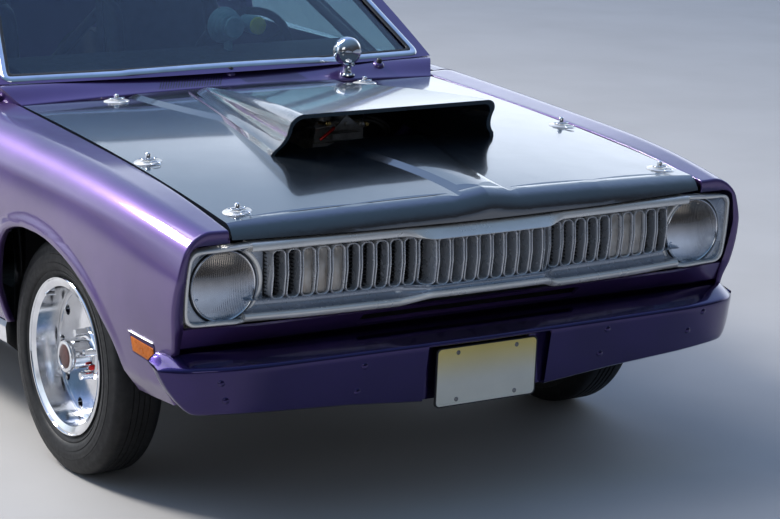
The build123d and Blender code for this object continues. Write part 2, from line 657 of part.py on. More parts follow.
support_pieces = [block(-370, 370, -586, -520, 360, 760), block(-400, 400, -598, -586, 722, 780)]
for side in (-1, 1):
    low, high = sorted((side * 400, side * 690))
    panel = block(low, high, -598, -588, 532, 780) - fender - mirror(fender, about=Plane.YZ)
    support_pieces.append(panel.solids().sort_by(SortBy.VOLUME)[-1])
    low, high = sorted((side * 370, side * 400))
    support_pieces.append(block(low, high, -586, -540, 432, 780))
save("radiator_support", *support_pieces)

FLOOR_PROFILE = [(600, 890), (600, 430), (690, 252), (2150, 252), (2240, 505), (3925, 505), (3925, 515), (2234, 515),
                 (2144, 262), (696, 262), (610, 432), (610, 890)]
floor = prism_x(FLOOR_PROFILE, -660, 660)
floor = floor - block(586, 900, 2230, 3160, 200, 900) - block(-900, -586, 2230, 3160, 200, 900)
tunnel_out = rod((0, 600, 262), (0, 2200, 262), 150)
tunnel_in = rod((0, 500, 252), (0, 2190, 252), 150)
above = block(-300, 300, 590, 2400, 252, 500)
floor = (floor - (tunnel_in & above)) + ((tunnel_out - tunnel_in) & above)
for side in (-1, 1):
    low, high = sorted((side * 380, side * 446))
    floor = floor + block(low, high, 505, 605, 780, 790)
floor = floor - rod((0, 560, 342), (0, 2500, REAR_HUB_Z), 56)
save("floor_pan", floor.solids().sort_by(SortBy.VOLUME)[-1])

SILL = [(660, 262), (800, 262), (832, 290), (836, 335), (832, 350), (660, 350)]
save("rocker_sills", *both_sides(prism_y(SILL, SILL_FRONT_Y, 2345)))

rails = [block(-440, 440, -110, 110, 200, 290)]
for side in (-1, 1):
    for x0, x1, y0, y1, z0, z1 in ((380, 440, -584, 596, 344, 430), (380, 440, -110, 110, 290, 344),
                                   (380, 440, 520, 596, 190, 344), (380, 440, 596, 2140, 190, 252),
                                   (400, 460, 2245, 3900, 440, 505)):
        low, high = sorted((side * x0, side * x1))
        rails.append(block(low, high, y0, y1, z0, z1))
save("chassis_rails", *rails)

TUB_R = 392
tub = rod((578, WHEELBASE, REAR_HUB_Z), (850, WHEELBASE, REAR_HUB_Z), TUB_R)
tub = tub - rod((586, WHEELBASE, REAR_HUB_Z), (900, WHEELBASE, REAR_HUB_Z), TUB_R - 8)
tub = tub - block(500, 900, 2200, 3300, -100, 262) - quarter
tub = tub - rod((500, WHEELBASE, REAR_HUB_Z), (620, WHEELBASE, REAR_HUB_Z), 60)
tub = (tub - floor).solids().sort_by(SortBy.VOLUME)[-1]
save("rear_tubs", *both_sides(tub))

# Tail
TAIL_HALF = [(604, 888), (730, 886), (796, 862), (828, 818), (842, 770), (850, 690), (838, 520), (810, 440)]
tail_outline = TAIL_HALF + [(-x, z) for x, z in reversed(TAIL_HALF)]
tail = prism_y(tail_outline, 3926, 3946)
tail = tail + prism_x([(3888, 866), (3888, 888), (3930, 886), (3930, 866)], -596, 596)
save("tail_panel", tail)
save("upper_deck_panel", prism_x([(2910, 957), (2929, 956), (2929, 936), (2910, 938)], -630, 630))
tail_lamp_boxes = [block(side * 575 - 185, side * 575 + 185, 3946, 3956, z, z + 42)
                   for side in (-1, 1) for z in (640, 700)]
save("tail_lamps", *tail_lamp_boxes)
rear_bumper = across_x([(x, [(3950, 560), (y, 548), (y + 14, 500), (y, 436), (3950, 430)])
                        for x, y in ((-850, 3965), (-700, 4002), (0, 4006), (700, 4002), (850, 3965))], True)
save("rear_bumper", rear_bumper)

DECK_TABLE = ((DECK_FRONT_Y, 632, 954, 962), (3400, 616, 934, 944), (DECK_REAR_Y, 600, 889, 895))


def deck_volume(drop):
    """All that lies below the deck lid's crowned skin."""
    wires = []
    for y, half, edge_z, centre_z in DECK_TABLE:
        edges = [
            ThreePointArc((-half, y, edge_z - drop), (0, y, centre_z - drop), (half, y, edge_z - drop)),
            Line((half, y, edge_z - drop), (half, y, 700)),
            Line((half, y, 700), (-half, y, 700)),
            Line((-half, y, 700), (-half, y, edge_z - drop)),
        ]
        wires.append(Wire([e.edge() for e in edges]))
    return Solid.make_loft(wires)


deck = deck_volume(0) - deck_volume(22)
save("deck_lid", deck)

# Engine, seen as one block below the scoop, with the carburettor on it
engine = block(-290, 290, -230, 430, 300, 740)
save("engine_block", engine)
carb = block(-95, 95, -20, 190, 740, 850) + block(-78, 78, 0, 170, 850, 905)
for y in (45, 125):
    carb = carb + rod((-32, y, 905), (-32, y, 935), 26) + rod((32, y, 905), (32, y, 935), 26)
save("carburettor", carb)

# Cabin
cage_points = [(604, 1930, 262), (604, 1930, 850), (505, 1930, 1180), (420, 1930, 1228)]
cage = bent_tube(cage_points + [(-x, y, z) for x, y, z in reversed(cage_points)], 21)
for side in (-1, 1):
    front_leg = [(620 * side, 720, 262), (620 * side, 720, 430), (640 * side, 775, 900), (505 * side, 1250, 1188),
                 (505 * side, 1930, 1180)]
    cage = cage + bent_tube(front_leg, 21)
    cage = cage + rod((604 * side, 1930, 700), (626 * side, 735, 520), 17)
    cage = cage + rod((480 * side, 1930, 1192), (430 * side, 2900, 545), 19)
save("roll_cage", cage.solids().sort_by(SortBy.VOLUME)[-1])

SEAT_X = 375
seat_core = prism_x([(1290, 300), (1290, 400), (1330, 418), (1700, 384), (1790, 1060), (1868, 1052), (1800, 330),
                     (1760, 300)], SEAT_X - 170, SEAT_X + 170)
bolster = [(1290, 300), (1290, 440), (1340, 468), (1640, 470), (1700, 640), (1740, 1000), (1868, 1052), (1800, 330),
           (1760, 300)]
seat = seat_core
for x0, x1 in ((SEAT_X - 205, SEAT_X - 165), (SEAT_X + 165, SEAT_X + 205)):
    seat = seat + prism_x(bolster, x0, x1)
seat = seat + block(SEAT_X - 165, SEAT_X + 165, 1340, 1720, 262, 302)
save("seats", *both_sides(seat))

DASH = [(718, 930), (760, 950), (960, 970), (1010, 945), (1000, 810), (900, 780), (718, 800)]
save("dashboard", prism_x(DASH, -585, 585))
WHEEL_X, WHEEL_Y, WHEEL_Z = 365, 1200, 880
column = Vector(0, 0.94, 0.342)
hub = Vector(WHEEL_X, WHEEL_Y, WHEEL_Z)
rim_plane = Plane(origin=hub, x_dir=(1, 0, 0), z_dir=column)
steering = rim_plane * Torus(172, 13)
foot = hub - column * 196
steering = steering + rod(tuple(foot), tuple(hub), 16)
steering = steering + rim_plane * Cylinder(42, 24)
for angle in (90, 210, 330):
    spoke = Box(170, 34, 6).moved(Location((86, 0, 0)))
    steering = steering + rim_plane * (Rot(0, 0, angle) * spoke)
save("steering_wheel", steering)

GAUGE_X, GAUGE_Z = 396, 990
gauge = rod((GAUGE_X, 576, GAUGE_Z), (GAUGE_X, 622, GAUGE_Z), 43)
gauge = gauge + rod((GAUGE_X, 604, 915), (GAUGE_X, 604, 960), 14)
gauge = gauge - cowl
save("cowl_gauge", gauge.solids().sort_by(SortBy.VOLUME)[-1])
tach = rod((150, 860, 1036), (150, 945, 1036), 56) + block(140, 160, 880, 920, 960, 1000)
tach = tach + rod((240, 870, 1036), (240, 960, 1036), 30) + block(190, 232, 896, 912, 1026, 1046)
tach = tach - prism_x(DASH, -585, 585)
save("tachometer", tach.solids().sort_by(SortBy.VOLUME)[-1])

# Underside
exhaust_parts = []
for side in (-1, 1):
    pipe = bent_tube([(200 * side, 470, 212), (230 * side, 900, 190), (230 * side, 2080, 190)], 30)
    pipe = pipe + rod((230 * side, 1050, 190), (230 * side, 1560, 190), 58)
    pipe = pipe + block(230 * side - 8, 230 * side + 8, 1300, 1312, 240, 252)
    exhaust_parts.append(pipe)
save("exhaust", *exhaust_parts)
save("fuel_cell", block(-300, 300, 3260, 3640, 300, 505))

axle = rod((-610, WHEELBASE, REAR_TYRE_R), (610, WHEELBASE, REAR_TYRE_R), 38)
axle = axle + ball((0, WHEELBASE, REAR_TYRE_R), 135) + rod((0, 2500, REAR_TYRE_R), (0, WHEELBASE, REAR_TYRE_R), 52)
axle = axle + rod((-804, WHEELBASE, REAR_TYRE_R), (804, WHEELBASE, REAR_TYRE_R), 18)
for side in (-1, 1):
    axle = axle + rod((side * 600, WHEELBASE, REAR_TYRE_R), (side * 655, WHEELBASE, REAR_TYRE_R), 128)
axle = axle + rod((0, 440, 318), (0, 2510, REAR_TYRE_R), 34)
save("rear_axle", axle, drop=0)
SPRING_TOP = 500 - BODY_DROP
springs = []
for side in (-1, 1):
    low, high = sorted((side * 460, side * 522))
    spring = prism_x([(2250, 300), (2743, 272), (3420, 330), (3420, 350), (2743, 307), (2250, 320)], low, high)
    spring = spring + block(low, high, 3400, 3420, 340, SPRING_TOP) + block(low, high, 2250, 2280, 300, SPRING_TOP)
    springs.append(spring)
save("rear_springs", *[sp - axle for sp in springs], drop=0)

# Wheels: solids of revolution about the axle line, x measured outward from the wheel's centre

def revolve_x(points, centre_y, centre_z):
    """Turn a closed outline of (x, radius) corners about the axle."""
    wire = Polyline(*[(x, centre_y, centre_z + r) for x, r in points], close=True)
    return revolve(make_face(wire), Axis((0, centre_y, centre_z), (1, 0, 0)), 360)


SHOULDER_R = 30


def tyre_ring(centre_x, centre_y, radius, width, rim_r, bead_half):
    """A tyre with bulging walls and rounded shoulders."""
    half = width / 2
    bead = rim_r - 16
    wall_top = (half - 7, radius - SHOULDER_R)
    bend = (half - 7 - 0.29 * SHOULDER_R, radius - 0.29 * SHOULDER_R)
    tread = (half - 7 - SHOULDER_R, radius)
    bulge = (half, rim_r + 0.42 * (radius - rim_r))
    foot, heel = (bead_half, rim_r + 2), (bead_half, bead)

    def at(p, side=1):
        return (centre_x + side * p[0], centre_y, radius + p[1])

    edges = [
        Line(at(heel, -1), at(heel)),
        Line(at(heel), at(foot)),
        ThreePointArc(at(foot), at(bulge), at(wall_top)),
        ThreePointArc(at(wall_top), at(bend), at(tread)),
        Line(at(tread), at(tread, -1)),
        ThreePointArc(at(tread, -1), at(bend, -1), at(wall_top, -1)),
        ThreePointArc(at(wall_top, -1), at(bulge, -1), at(foot, -1)),
        Line(at(foot, -1), at(heel, -1)),
    ]
    face = make_face(Wire([e.edge() for e in edges]))
    return revolve(face, Axis((0, centre_y, radius), (1, 0, 0)), 360)


CAP_R = 42
RIM_HOLES, RIM_HOLE_R, RIM_HOLE_AT = 10, 14, 154
LUGS, LUG_R, LUG_AT, LUG_LENGTH = 5, 10, 60, 40


def wheel_rim(centre_x, centre_y, centre_z, half, disc_x, bore_r, bore_end, cap_end):
    """A deep dished wheel with its disc, hub cap, round holes and long wheel nuts, on the car's left."""
    seat, lip = FRONT_RIM_R - 16.5, FRONT_RIM_R
    face = disc_x + 10
    points = [
        (-half, lip), (-half + 8, lip), (-half + 8, seat), (half - 8, seat), (half - 8, lip), (half, lip),
        (half, lip - 8), (half - 6, seat - 6), (face, seat - 12), (face, CAP_R + 6), (face + 4, CAP_R),
        (cap_end, CAP_R), (cap_end, 0), (bore_end, 0), (bore_end, bore_r), (disc_x - 12, bore_r),
        (disc_x - 12, 130), (disc_x - 3, 130), (disc_x - 3, seat - 12), (-half + 6, seat - 6), (-half, lip - 8),
    ]
    shape = revolve_x([(centre_x + x, r) for x, r in points], centre_y, centre_z)
    for k in range(RIM_HOLES):
        angle = 2 * math.pi * k / RIM_HOLES
        y = centre_y + RIM_HOLE_AT * math.cos(angle)
        z = centre_z + RIM_HOLE_AT * math.sin(angle)
        shape = shape - rod((centre_x + disc_x - 6, y, z), (centre_x + face + 10, y, z), RIM_HOLE_R)
    for k in range(LUGS):
        angle = 2 * math.pi * (k + 0.25) / LUGS
        y = centre_y + LUG_AT * math.cos(angle)
        z = centre_z + LUG_AT * math.sin(angle)
        shape = shape + rod((centre_x + face - 4, y, z), (centre_x + face + LUG_LENGTH, y, z), LUG_R)
    return shape


front_tyre = tyre_ring(FRONT_WHEEL_X, 0, FRONT_TYRE_R, FRONT_TYRE_W, FRONT_RIM_R, 60)
front_rim = wheel_rim(FRONT_WHEEL_X, 0, FRONT_TYRE_R, 68, -12, 16.05, 56, 66)
rear_tyre = tyre_ring(REAR_WHEEL_X, WHEELBASE, REAR_TYRE_R, REAR_TYRE_W, REAR_RIM_R, 122)
rear_rim = wheel_rim(REAR_WHEEL_X, WHEELBASE, REAR_TYRE_R, 130, 30, 18.05, 66, 100)
for label, tyre, rim in (("front", front_tyre, front_rim), ("rear", rear_tyre, rear_rim)):
    for side, t, r in zip(("left", "right"), both_sides(tyre), both_sides(rim)):
        save(f"tyre_{label}_{side}", t, drop=0)
        save(f"rim_{label}_{side}", r, drop=0)

# Front suspension and the knuckles that steer the wheels
KING_X = STEER_AXIS_X
knuckle = rod((KING_X, 0, 205), (KING_X, 0, 421), 12)
knuckle = knuckle + rod((KING_X, 0, FRONT_TYRE_R), (FRONT_WHEEL_X + 54, 0, FRONT_TYRE_R), 16)
knuckle = knuckle + rod((KING_X, 0, 262), (KING_X - 30, 110, 250), 9)
left, right = both_sides(knuckle)
save("knuckle_left", left, drop=0)
save("knuckle_right", right, drop=0)
arm = bent_tube([(446, 0, 240), (KING_X - 42, 0, 192), (KING_X, 0, 186)], 12)
arm = arm + rod((640, -6, 200), (452, -90, 238), 11) + ball((KING_X, 0, 186), 14)
upper_arm = bent_tube([(518, 0, 452), (KING_X - 42, 0, 444), (KING_X, 0, 441)], 12) + ball((KING_X, 0, 441), 13)
upper_arm = upper_arm + rod((520, 70, 455), (670, 4, 444), 9) + rod((520, -70, 455), (670, -4, 444), 9)
save("front_suspension", *both_sides(arm), *both_sides(upper_arm), drop=0)

os.makedirs("parts", exist_ok=True)
for name, shape in PARTS.items():
    export_step(shape, f"parts/{name}.step")
    print(name, len(shape.solids()), [round(v) for v in shape.bounding_box().size])
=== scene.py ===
import bpy
import bmesh
import math
from mathutils import Matrix, Vector
from mathutils.bvhtree import BVHTree


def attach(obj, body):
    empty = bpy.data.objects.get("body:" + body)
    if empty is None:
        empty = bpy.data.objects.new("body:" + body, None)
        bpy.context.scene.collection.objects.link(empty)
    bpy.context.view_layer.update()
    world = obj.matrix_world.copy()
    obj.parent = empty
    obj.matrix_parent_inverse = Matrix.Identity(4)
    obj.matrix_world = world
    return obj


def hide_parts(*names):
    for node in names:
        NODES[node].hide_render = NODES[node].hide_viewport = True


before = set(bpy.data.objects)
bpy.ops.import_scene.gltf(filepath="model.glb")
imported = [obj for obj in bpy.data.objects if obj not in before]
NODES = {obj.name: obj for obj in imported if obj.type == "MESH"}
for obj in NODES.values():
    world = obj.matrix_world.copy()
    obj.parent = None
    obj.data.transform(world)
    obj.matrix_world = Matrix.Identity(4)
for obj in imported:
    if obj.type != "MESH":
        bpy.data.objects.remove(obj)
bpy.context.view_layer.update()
MM = 0.001
AXLE_Y = -1.6275
BODY_DROP = 22
WHEELBASE = 2743
LABELS = ((1, "left"), (-1, "right"))
SIDES = (1, -1)
ALONG, AHEAD, UP = (0, 1, 0), (0, -1, 0), (0, 0, 1)


def P(x, y, z):
    """A point of the body, in millimetres, with y counted from the front axle."""
    return Vector((x * MM, y * MM + AXLE_Y, (z - BODY_DROP) * MM))


def W(x, y, z):
    """A point of the wheels and axles, which the body's drop leaves where they are."""
    return P(x, y, z + BODY_DROP)


# Camera at the photograph's angle
YAW, PITCH, ROLL = math.radians(32.91), math.radians(13.12), math.radians(1.71)
forward = Vector((math.sin(YAW) * math.cos(PITCH), math.cos(YAW) * math.cos(PITCH), -math.sin(PITCH)))
level = Vector((math.cos(YAW), -math.sin(YAW), 0))
above = level.cross(forward)
right = level * math.cos(ROLL) + above * math.sin(ROLL)
upward = above * math.cos(ROLL) - level * math.sin(ROLL)
camera = bpy.data.objects.new("camera", bpy.data.cameras.new("camera"))
bpy.context.scene.collection.objects.link(camera)
camera.data.sensor_width = 36
camera.data.lens = 118.6
camera.matrix_world = Matrix.Translation(Vector((-3.645, -7.5365, 2.115))) @ Matrix(
    (right, upward, -forward)).transposed().to_4x4()
camera.data.clip_end = 200
bpy.context.scene.camera = camera


# Materials

def socket(node, name, value):
    node.inputs[name].default_value = value


def new_ramp(tree, value, stops):
    """A colour ramp over a value, through (place, tone) stops."""
    node = tree.nodes.new("ShaderNodeValToRGB")
    elements = node.color_ramp.elements
    for element, (place, tone) in zip(elements, (stops[0], stops[-1])):
        element.position, element.color = place, (*tone, 1)
    for place, tone in stops[1:-1]:
        elements.new(place).color = (*tone, 1)
    tree.links.new(value, node.inputs[0])
    return node.outputs[0]


def new_noise(tree, coords, scale, detail):
    node = tree.nodes.new("ShaderNodeTexNoise")
    socket(node, "Scale", scale)
    socket(node, "Detail", detail)
    tree.links.new(coords.outputs["Object"], node.inputs["Vector"])
    return node.outputs["Fac"]


def new_range(tree, value, low, high, soft=True):
    """A value's place between two limits, as a node whose output runs from 0 to 1."""
    node = tree.nodes.new("ShaderNodeMapRange")
    if soft:
        node.interpolation_type = "SMOOTHSTEP"
    socket(node, "From Min", low)
    socket(node, "From Max", high)
    tree.links.new(value, node.inputs["Value"])
    return node


def new_bump(tree, height, strength, distance):
    """A bump in a finish's surface."""
    node = tree.nodes.new("ShaderNodeBump")
    socket(node, "Strength", strength)
    socket(node, "Distance", distance)
    tree.links.new(height, node.inputs["Height"])
    tree.links.new(node.outputs[0], tree.nodes["Principled BSDF"].inputs["Normal"])


def new_height(tree, coords):
    """The three parts of a coordinate."""
    split = tree.nodes.new("ShaderNodeSeparateXYZ")
    tree.links.new(coords, split.inputs[0])
    return split.outputs


def material(name, dark, light, metallic=0.0, rough=(0.4, 0.5), scale=8.0, bump=0.0, bump_scale=200.0, **fixed):
    """A procedural finish: colour between two tones, with uneven gloss and a fine bump."""
    mat = bpy.data.materials.new(name)
    mat.use_nodes = True
    tree = mat.node_tree
    shader = tree.nodes["Principled BSDF"]
    coords = tree.nodes.new("ShaderNodeTexCoord")
    tone = new_ramp(tree, new_noise(tree, coords, scale, 4.0), ((0.35, dark), (0.65, light)))
    tree.links.new(tone, shader.inputs["Base Color"])
    spread = new_range(tree, new_noise(tree, coords, scale * 2.7, 5.0), 0.3, 0.7, soft=False)
    socket(spread, "To Min", rough[0])
    socket(spread, "To Max", rough[1])
    tree.links.new(spread.outputs[0], shader.inputs["Roughness"])
    if bump:
        new_bump(tree, new_noise(tree, coords, bump_scale, 3.0), bump, 0.001)
    socket(shader, "Metallic", metallic)
    for key, value in fixed.items():
        socket(shader, key.replace("_", " "), value)
    return mat


def add_fade(mat, low, high, low_tone, high_tone):
    """Tint a finish from one tone to another between two heights."""
    tree = mat.node_tree
    shader = tree.nodes["Principled BSDF"]
    base = shader.inputs["Base Color"].links[0].from_socket
    height = new_height(tree, tree.nodes.new("ShaderNodeTexCoord").outputs["Object"])["Z"]
    share = new_range(tree, height, low, high).outputs[0]
    mix = tree.nodes.new("ShaderNodeMix")
    mix.data_type = "RGBA"
    mix.blend_type = "MULTIPLY"
    socket(mix, 0, 1.0)
    tree.links.new(new_ramp(tree, share, ((0, low_tone), (1, high_tone))), mix.inputs[6])
    tree.links.new(base, mix.inputs[7])
    tree.links.new(mix.outputs[2], shader.inputs["Base Color"])
    return mat


def add_ribs(mat, direction, scale, strength):
    """Straight ribs moulded into a finish."""
    tree = mat.node_tree
    coords = tree.nodes.new("ShaderNodeTexCoord")
    wave = tree.nodes.new("ShaderNodeTexWave")
    wave.bands_direction = direction
    socket(wave, "Scale", scale)
    tree.links.new(coords.outputs["Object"], wave.inputs["Vector"])
    new_bump(tree, wave.outputs["Fac"], strength, 0.002)
    return mat


def grey(level):
    return (level,) * 3


PAINT = material("purple_paint", (0.080, 0.040, 0.160), (0.096, 0.048, 0.190), 0.70, (0.38, 0.44), 5, 0.05, 900,
                 Coat_Weight=1.0, Coat_Roughness=0.09, Coat_IOR=1.6)
# Bumper paint: a bluer, more satin purple whose base is darkened to about half the body's tone; the darkening is
# painted shade for the bumper's face in shadow.
SHADED_BUMPER_PAINT = material("bumper_paint_painted_shade", (0.023, 0.012, 0.085), (0.030, 0.015, 0.105), 0.95, (0.20, 0.26), 6, 0.05,
                        420, Coat_Weight=0.8, Coat_Roughness=0.06)
HOOD_PAINT = material("hood_paint", (0.008, 0.012, 0.017), (0.013, 0.018, 0.024), 0.0, (0.20, 0.26), 4, 0.03, 700,
                      IOR=1.9, Coat_Weight=1.0, Coat_Roughness=0.06, Coat_IOR=2.0)
# A darker, rougher copy of the body's purple: in the inner fenders, and on the marker housings, where its darker tone
# is painted shade on the body-coloured face round the lens.
INNER_AND_SHADED_PAINT = material("inner_paint", (0.03, 0.014, 0.07), (0.05, 0.022, 0.11), 0.3, (0.45, 0.6), 7, 0.2, 300)
UNDER_BLACK = material("under_black", (0.010, 0.010, 0.011), (0.028, 0.026, 0.025), 0.1, (0.5, 0.75), 9, 0.35, 160)
CHROME = material("chrome", (0.72, 0.73, 0.75), (0.84, 0.85, 0.87), 1.0, (0.04, 0.10), 14, 0.02, 300)
POLISHED = material("polished_alloy", (0.66, 0.67, 0.69), (0.80, 0.81, 0.83), 1.0, (0.08, 0.17), 20, 0.04, 400)
ARGENT = material("argent", (0.58, 0.59, 0.61), (0.63, 0.64, 0.66), 0.6, (0.24, 0.30), 9, 0.02, 500,
                  Coat_Weight=0.3, Coat_Roughness=0.12)
# A lit and a shaded copy of the argent: the warm, lighter one is painted sunlight on lips and edges that face forward
# and up, the darker blue-grey one painted shade and painted reflection of dark ground on channels and bowls; partly
# they follow the grille's real brighter trim edge.
SUNLIT_BRIGHT = material("bright_metal_painted_sunlight", (0.78, 0.76, 0.72), (0.86, 0.84, 0.80), 0.45, (0.26, 0.32), 9, 0.02, 500)
SHADED_ARGENT = material("argent_painted_shade", (0.34, 0.38, 0.44), (0.40, 0.44, 0.50), 0.6, (0.24, 0.30), 9, 0.02, 500,
                Coat_Weight=0.3, Coat_Roughness=0.12)
BLACK_PLASTIC = material("black_plastic", (0.008, 0.008, 0.009), (0.018, 0.018, 0.02), 0.0, (0.4, 0.6), 25, 0.3, 600)
RUBBER = material("rubber", (0.010, 0.010, 0.011), grey(0.022), 0.0, (0.42, 0.60), 30, 0.35, 350)
TYRE = material("tyre_rubber", (0.0045, 0.0045, 0.005), (0.010, 0.010, 0.0105), 0.0, (0.50, 0.66), 30, 0.25, 350,
                IOR=1.4)
TINTED = material("tinted_glass", (0.44, 0.60, 0.64), (0.48, 0.64, 0.68), 0.0, (0.0, 0.015), 3,
                  Transmission_Weight=1.0, IOR=1.5)
LENS = material("lamp_lens", grey(0.62), grey(1.0), 0.85, (0.08, 0.18), 9, Coat_Weight=1.0, Coat_Roughness=0.02)
# Tinted by height over the lamp, pale blue below and dark warm brown above: partly painted reflection, partly the
# sealed beam reflector's own warm tone.
add_fade(add_ribs(LENS, "X", 62.0, 0.45), 0.61, 0.67, (0.62, 0.70, 0.82), (0.36, 0.32, 0.28))
AMBER = add_ribs(material("amber_lens", (0.56, 0.125, 0.001), (0.70, 0.170, 0.002), 0.0, (0.25, 0.35), 40,
                          Specular_IOR_Level=0.2), "Y", 50.0, 0.4)
RED = add_ribs(material("red_lens", (0.30, 0.008, 0.008), (0.45, 0.012, 0.012), 0.0, (0.12, 0.2), 40,
                        Coat_Weight=0.6), "X", 50.0, 0.4)
PARKING = add_ribs(material("parking_lens", (0.36, 0.31, 0.26), (0.52, 0.48, 0.43), 0.3, (0.12, 0.24), 25,
                            Coat_Weight=0.8), "X", 90.0, 0.3)
PLATE = add_fade(material("plate_blank", grey(0.90), grey(1.0), 0.0, (0.35, 0.45), 6, 0.1, 500),
                 0.33, 0.435, (0.80, 0.78, 0.68), (0.84, 0.66, 0.20))
CAST = material("cast_metal", (0.05, 0.05, 0.052), grey(0.10), 0.6, (0.45, 0.65), 30, 0.6, 260)
STEEL = material("dull_steel", (0.18, 0.17, 0.165), (0.34, 0.33, 0.32), 0.9, (0.35, 0.55), 20, 0.3, 260)
CARB = material("carb_alloy", (0.36, 0.35, 0.33), (0.52, 0.51, 0.49), 0.9, (0.3, 0.5), 40, 0.4, 300)
BRASS = material("brass", (0.55, 0.38, 0.12), (0.70, 0.50, 0.18), 1.0, (0.2, 0.35), 40, 0.1, 300)
RED_ROD = material("red_anodised", (0.50, 0.012, 0.01), (0.65, 0.02, 0.015), 0.5, (0.2, 0.3), 40, 0.05, 300)
CAGE = material("cage_paint", (0.015, 0.015, 0.017), (0.03, 0.03, 0.033), 0.1, (0.3, 0.42), 15, 0.1, 400,
                Coat_Weight=0.4)
LEATHER = material("black_vinyl", (0.012, 0.012, 0.013), (0.03, 0.03, 0.032), 0.0, (0.4, 0.55), 30, 0.7, 420,
                   Sheen_Weight=0.2)
DASH = material("dash_black", (0.010, 0.011, 0.012), (0.022, 0.023, 0.025), 0.0, (0.5, 0.65), 20, 0.5, 500)
BLUE_GREY = material("blue_grey_plastic", (0.20, 0.33, 0.36), (0.30, 0.45, 0.48), 0.0, (0.35, 0.5), 30, 0.1, 300)
YELLOW = material("yellow_cap", (0.62, 0.60, 0.05), (0.78, 0.74, 0.10), 0.0, (0.4, 0.5), 30, 0.1, 300)
DARK_RED = material("cap_end", (0.045, 0.012, 0.010), (0.085, 0.020, 0.014), 0.2, (0.25, 0.4), 60, 0.1, 300)

NODE_FINISH = {name: finish for finish, names in (
    (PAINT, "roof_panel front_fenders door_left door_right quarter_panels front_valance cowl_panel tail_panel "
            "upper_deck_panel deck_lid"),
    (TINTED, "windshield backlight quarter_glass door_glass_left door_glass_right"),
    (UNDER_BLACK, "radiator_support floor_pan chassis_rails rear_tubs front_suspension"),
    (CAST, "engine_block rear_axle knuckle_left knuckle_right"), (CHROME, "hood_pins rocker_sills cowl_gauge"),
    (DASH, "dashboard steering_wheel tachometer"), (SHADED_BUMPER_PAINT, "rear_bumper front_bumper"),
    (ARGENT, "grille headlamp_bezels"), (STEEL, "exhaust rear_springs"), (HOOD_PAINT, "hood"), (AMBER, "marker_lamps"),
    (INNER_AND_SHADED_PAINT, "inner_fenders"), (RED, "tail_lamps"), (CARB, "carburettor"), (CAGE, "roll_cage"), (LEATHER, "seats"),
    (LENS, "headlamps"), (PLATE, "licence_plate")) for name in names.split()}
for name, obj in NODES.items():
    finish = NODE_FINISH.get(name) or (TYRE if name.startswith("tyre") else POLISHED)
    obj.data.materials.clear()
    obj.data.materials.append(finish)


# Mesh building

class Mesh:
    def __init__(self):
        self.verts = []
        self.faces = []

    def rings(self, rings, closed=True, wrap=False, caps=False):
        """Skin a row of outlines that have the same number of points."""
        n = len(rings[0])
        base = len(self.verts)
        for ring in rings:
            self.verts.extend(ring)
        count = len(rings)
        for i in range(count if wrap else count - 1):
            a, b = base + i * n, base + ((i + 1) % count) * n
            for j in range(n if closed else n - 1):
                k = (j + 1) % n
                self.faces.append((a + j, a + k, b + k, b + j))
        if caps:
            self.faces.append(tuple(base + j for j in range(n)))
            self.faces.append(tuple(base + (count - 1) * n + j for j in range(n)))

    def lathe(self, profile, origin, axis, steps=48):
        """Turn a profile of (along, radius) points, in millimetres, about an axis."""
        axis = Vector(axis).normalized()
        u = axis.orthogonal().normalized()
        w = axis.cross(u)
        spokes = [u * math.cos(t) + w * math.sin(t) for t in (2 * math.pi * k / steps for k in range(steps))]
        self.rings([[origin + axis * (a * MM) + d * (r * MM) for a, r in profile] for d in spokes],
                   closed=False, wrap=True)

    def tube(self, path, radius, steps=10, closed=False, flat=1.0, up=(0, 0, 1)):
        """A round or flattened bar along a path; flat squashes it along the up direction."""
        n = len(path)
        rings = []
        for i, p in enumerate(path):
            before = path[i - 1] if (closed or i > 0) else p
            after = path[(i + 1) % n] if (closed or i < n - 1) else p
            tangent = (after - before).normalized()
            side = tangent.cross(Vector(up))
            if side.length < 0.05:
                side = tangent.orthogonal()
            side.normalize()
            rise = side.cross(tangent).normalized()
            rings.append([p + side * (radius * MM * math.cos(2 * math.pi * k / steps))
                          + rise * (radius * MM * flat * math.sin(2 * math.pi * k / steps))
                          for k in range(steps)])
        self.rings(rings, wrap=closed, caps=not closed)

    def block(self, x0, x1, y0, y1, z0, z1):
        """An upright block between two corners in millimetres."""
        self.rings([[P(x, y, z) for x, y in ((x0, y0), (x1, y0), (x1, y1), (x0, y1))] for z in (z0, z1)], caps=True)

    def close(self, count):
        """Close the last ring, of a number of points, with a face."""
        self.faces.append(tuple(range(len(self.verts) - count, len(self.verts))))

    def mirrored(self):
        """Add the mirror image on the car's right."""
        base = len(self.verts)
        self.verts.extend([Vector((-v.x, v.y, v.z)) for v in self.verts[:base]])
        self.faces.extend([tuple(base + i for i in reversed(face)) for face in self.faces])


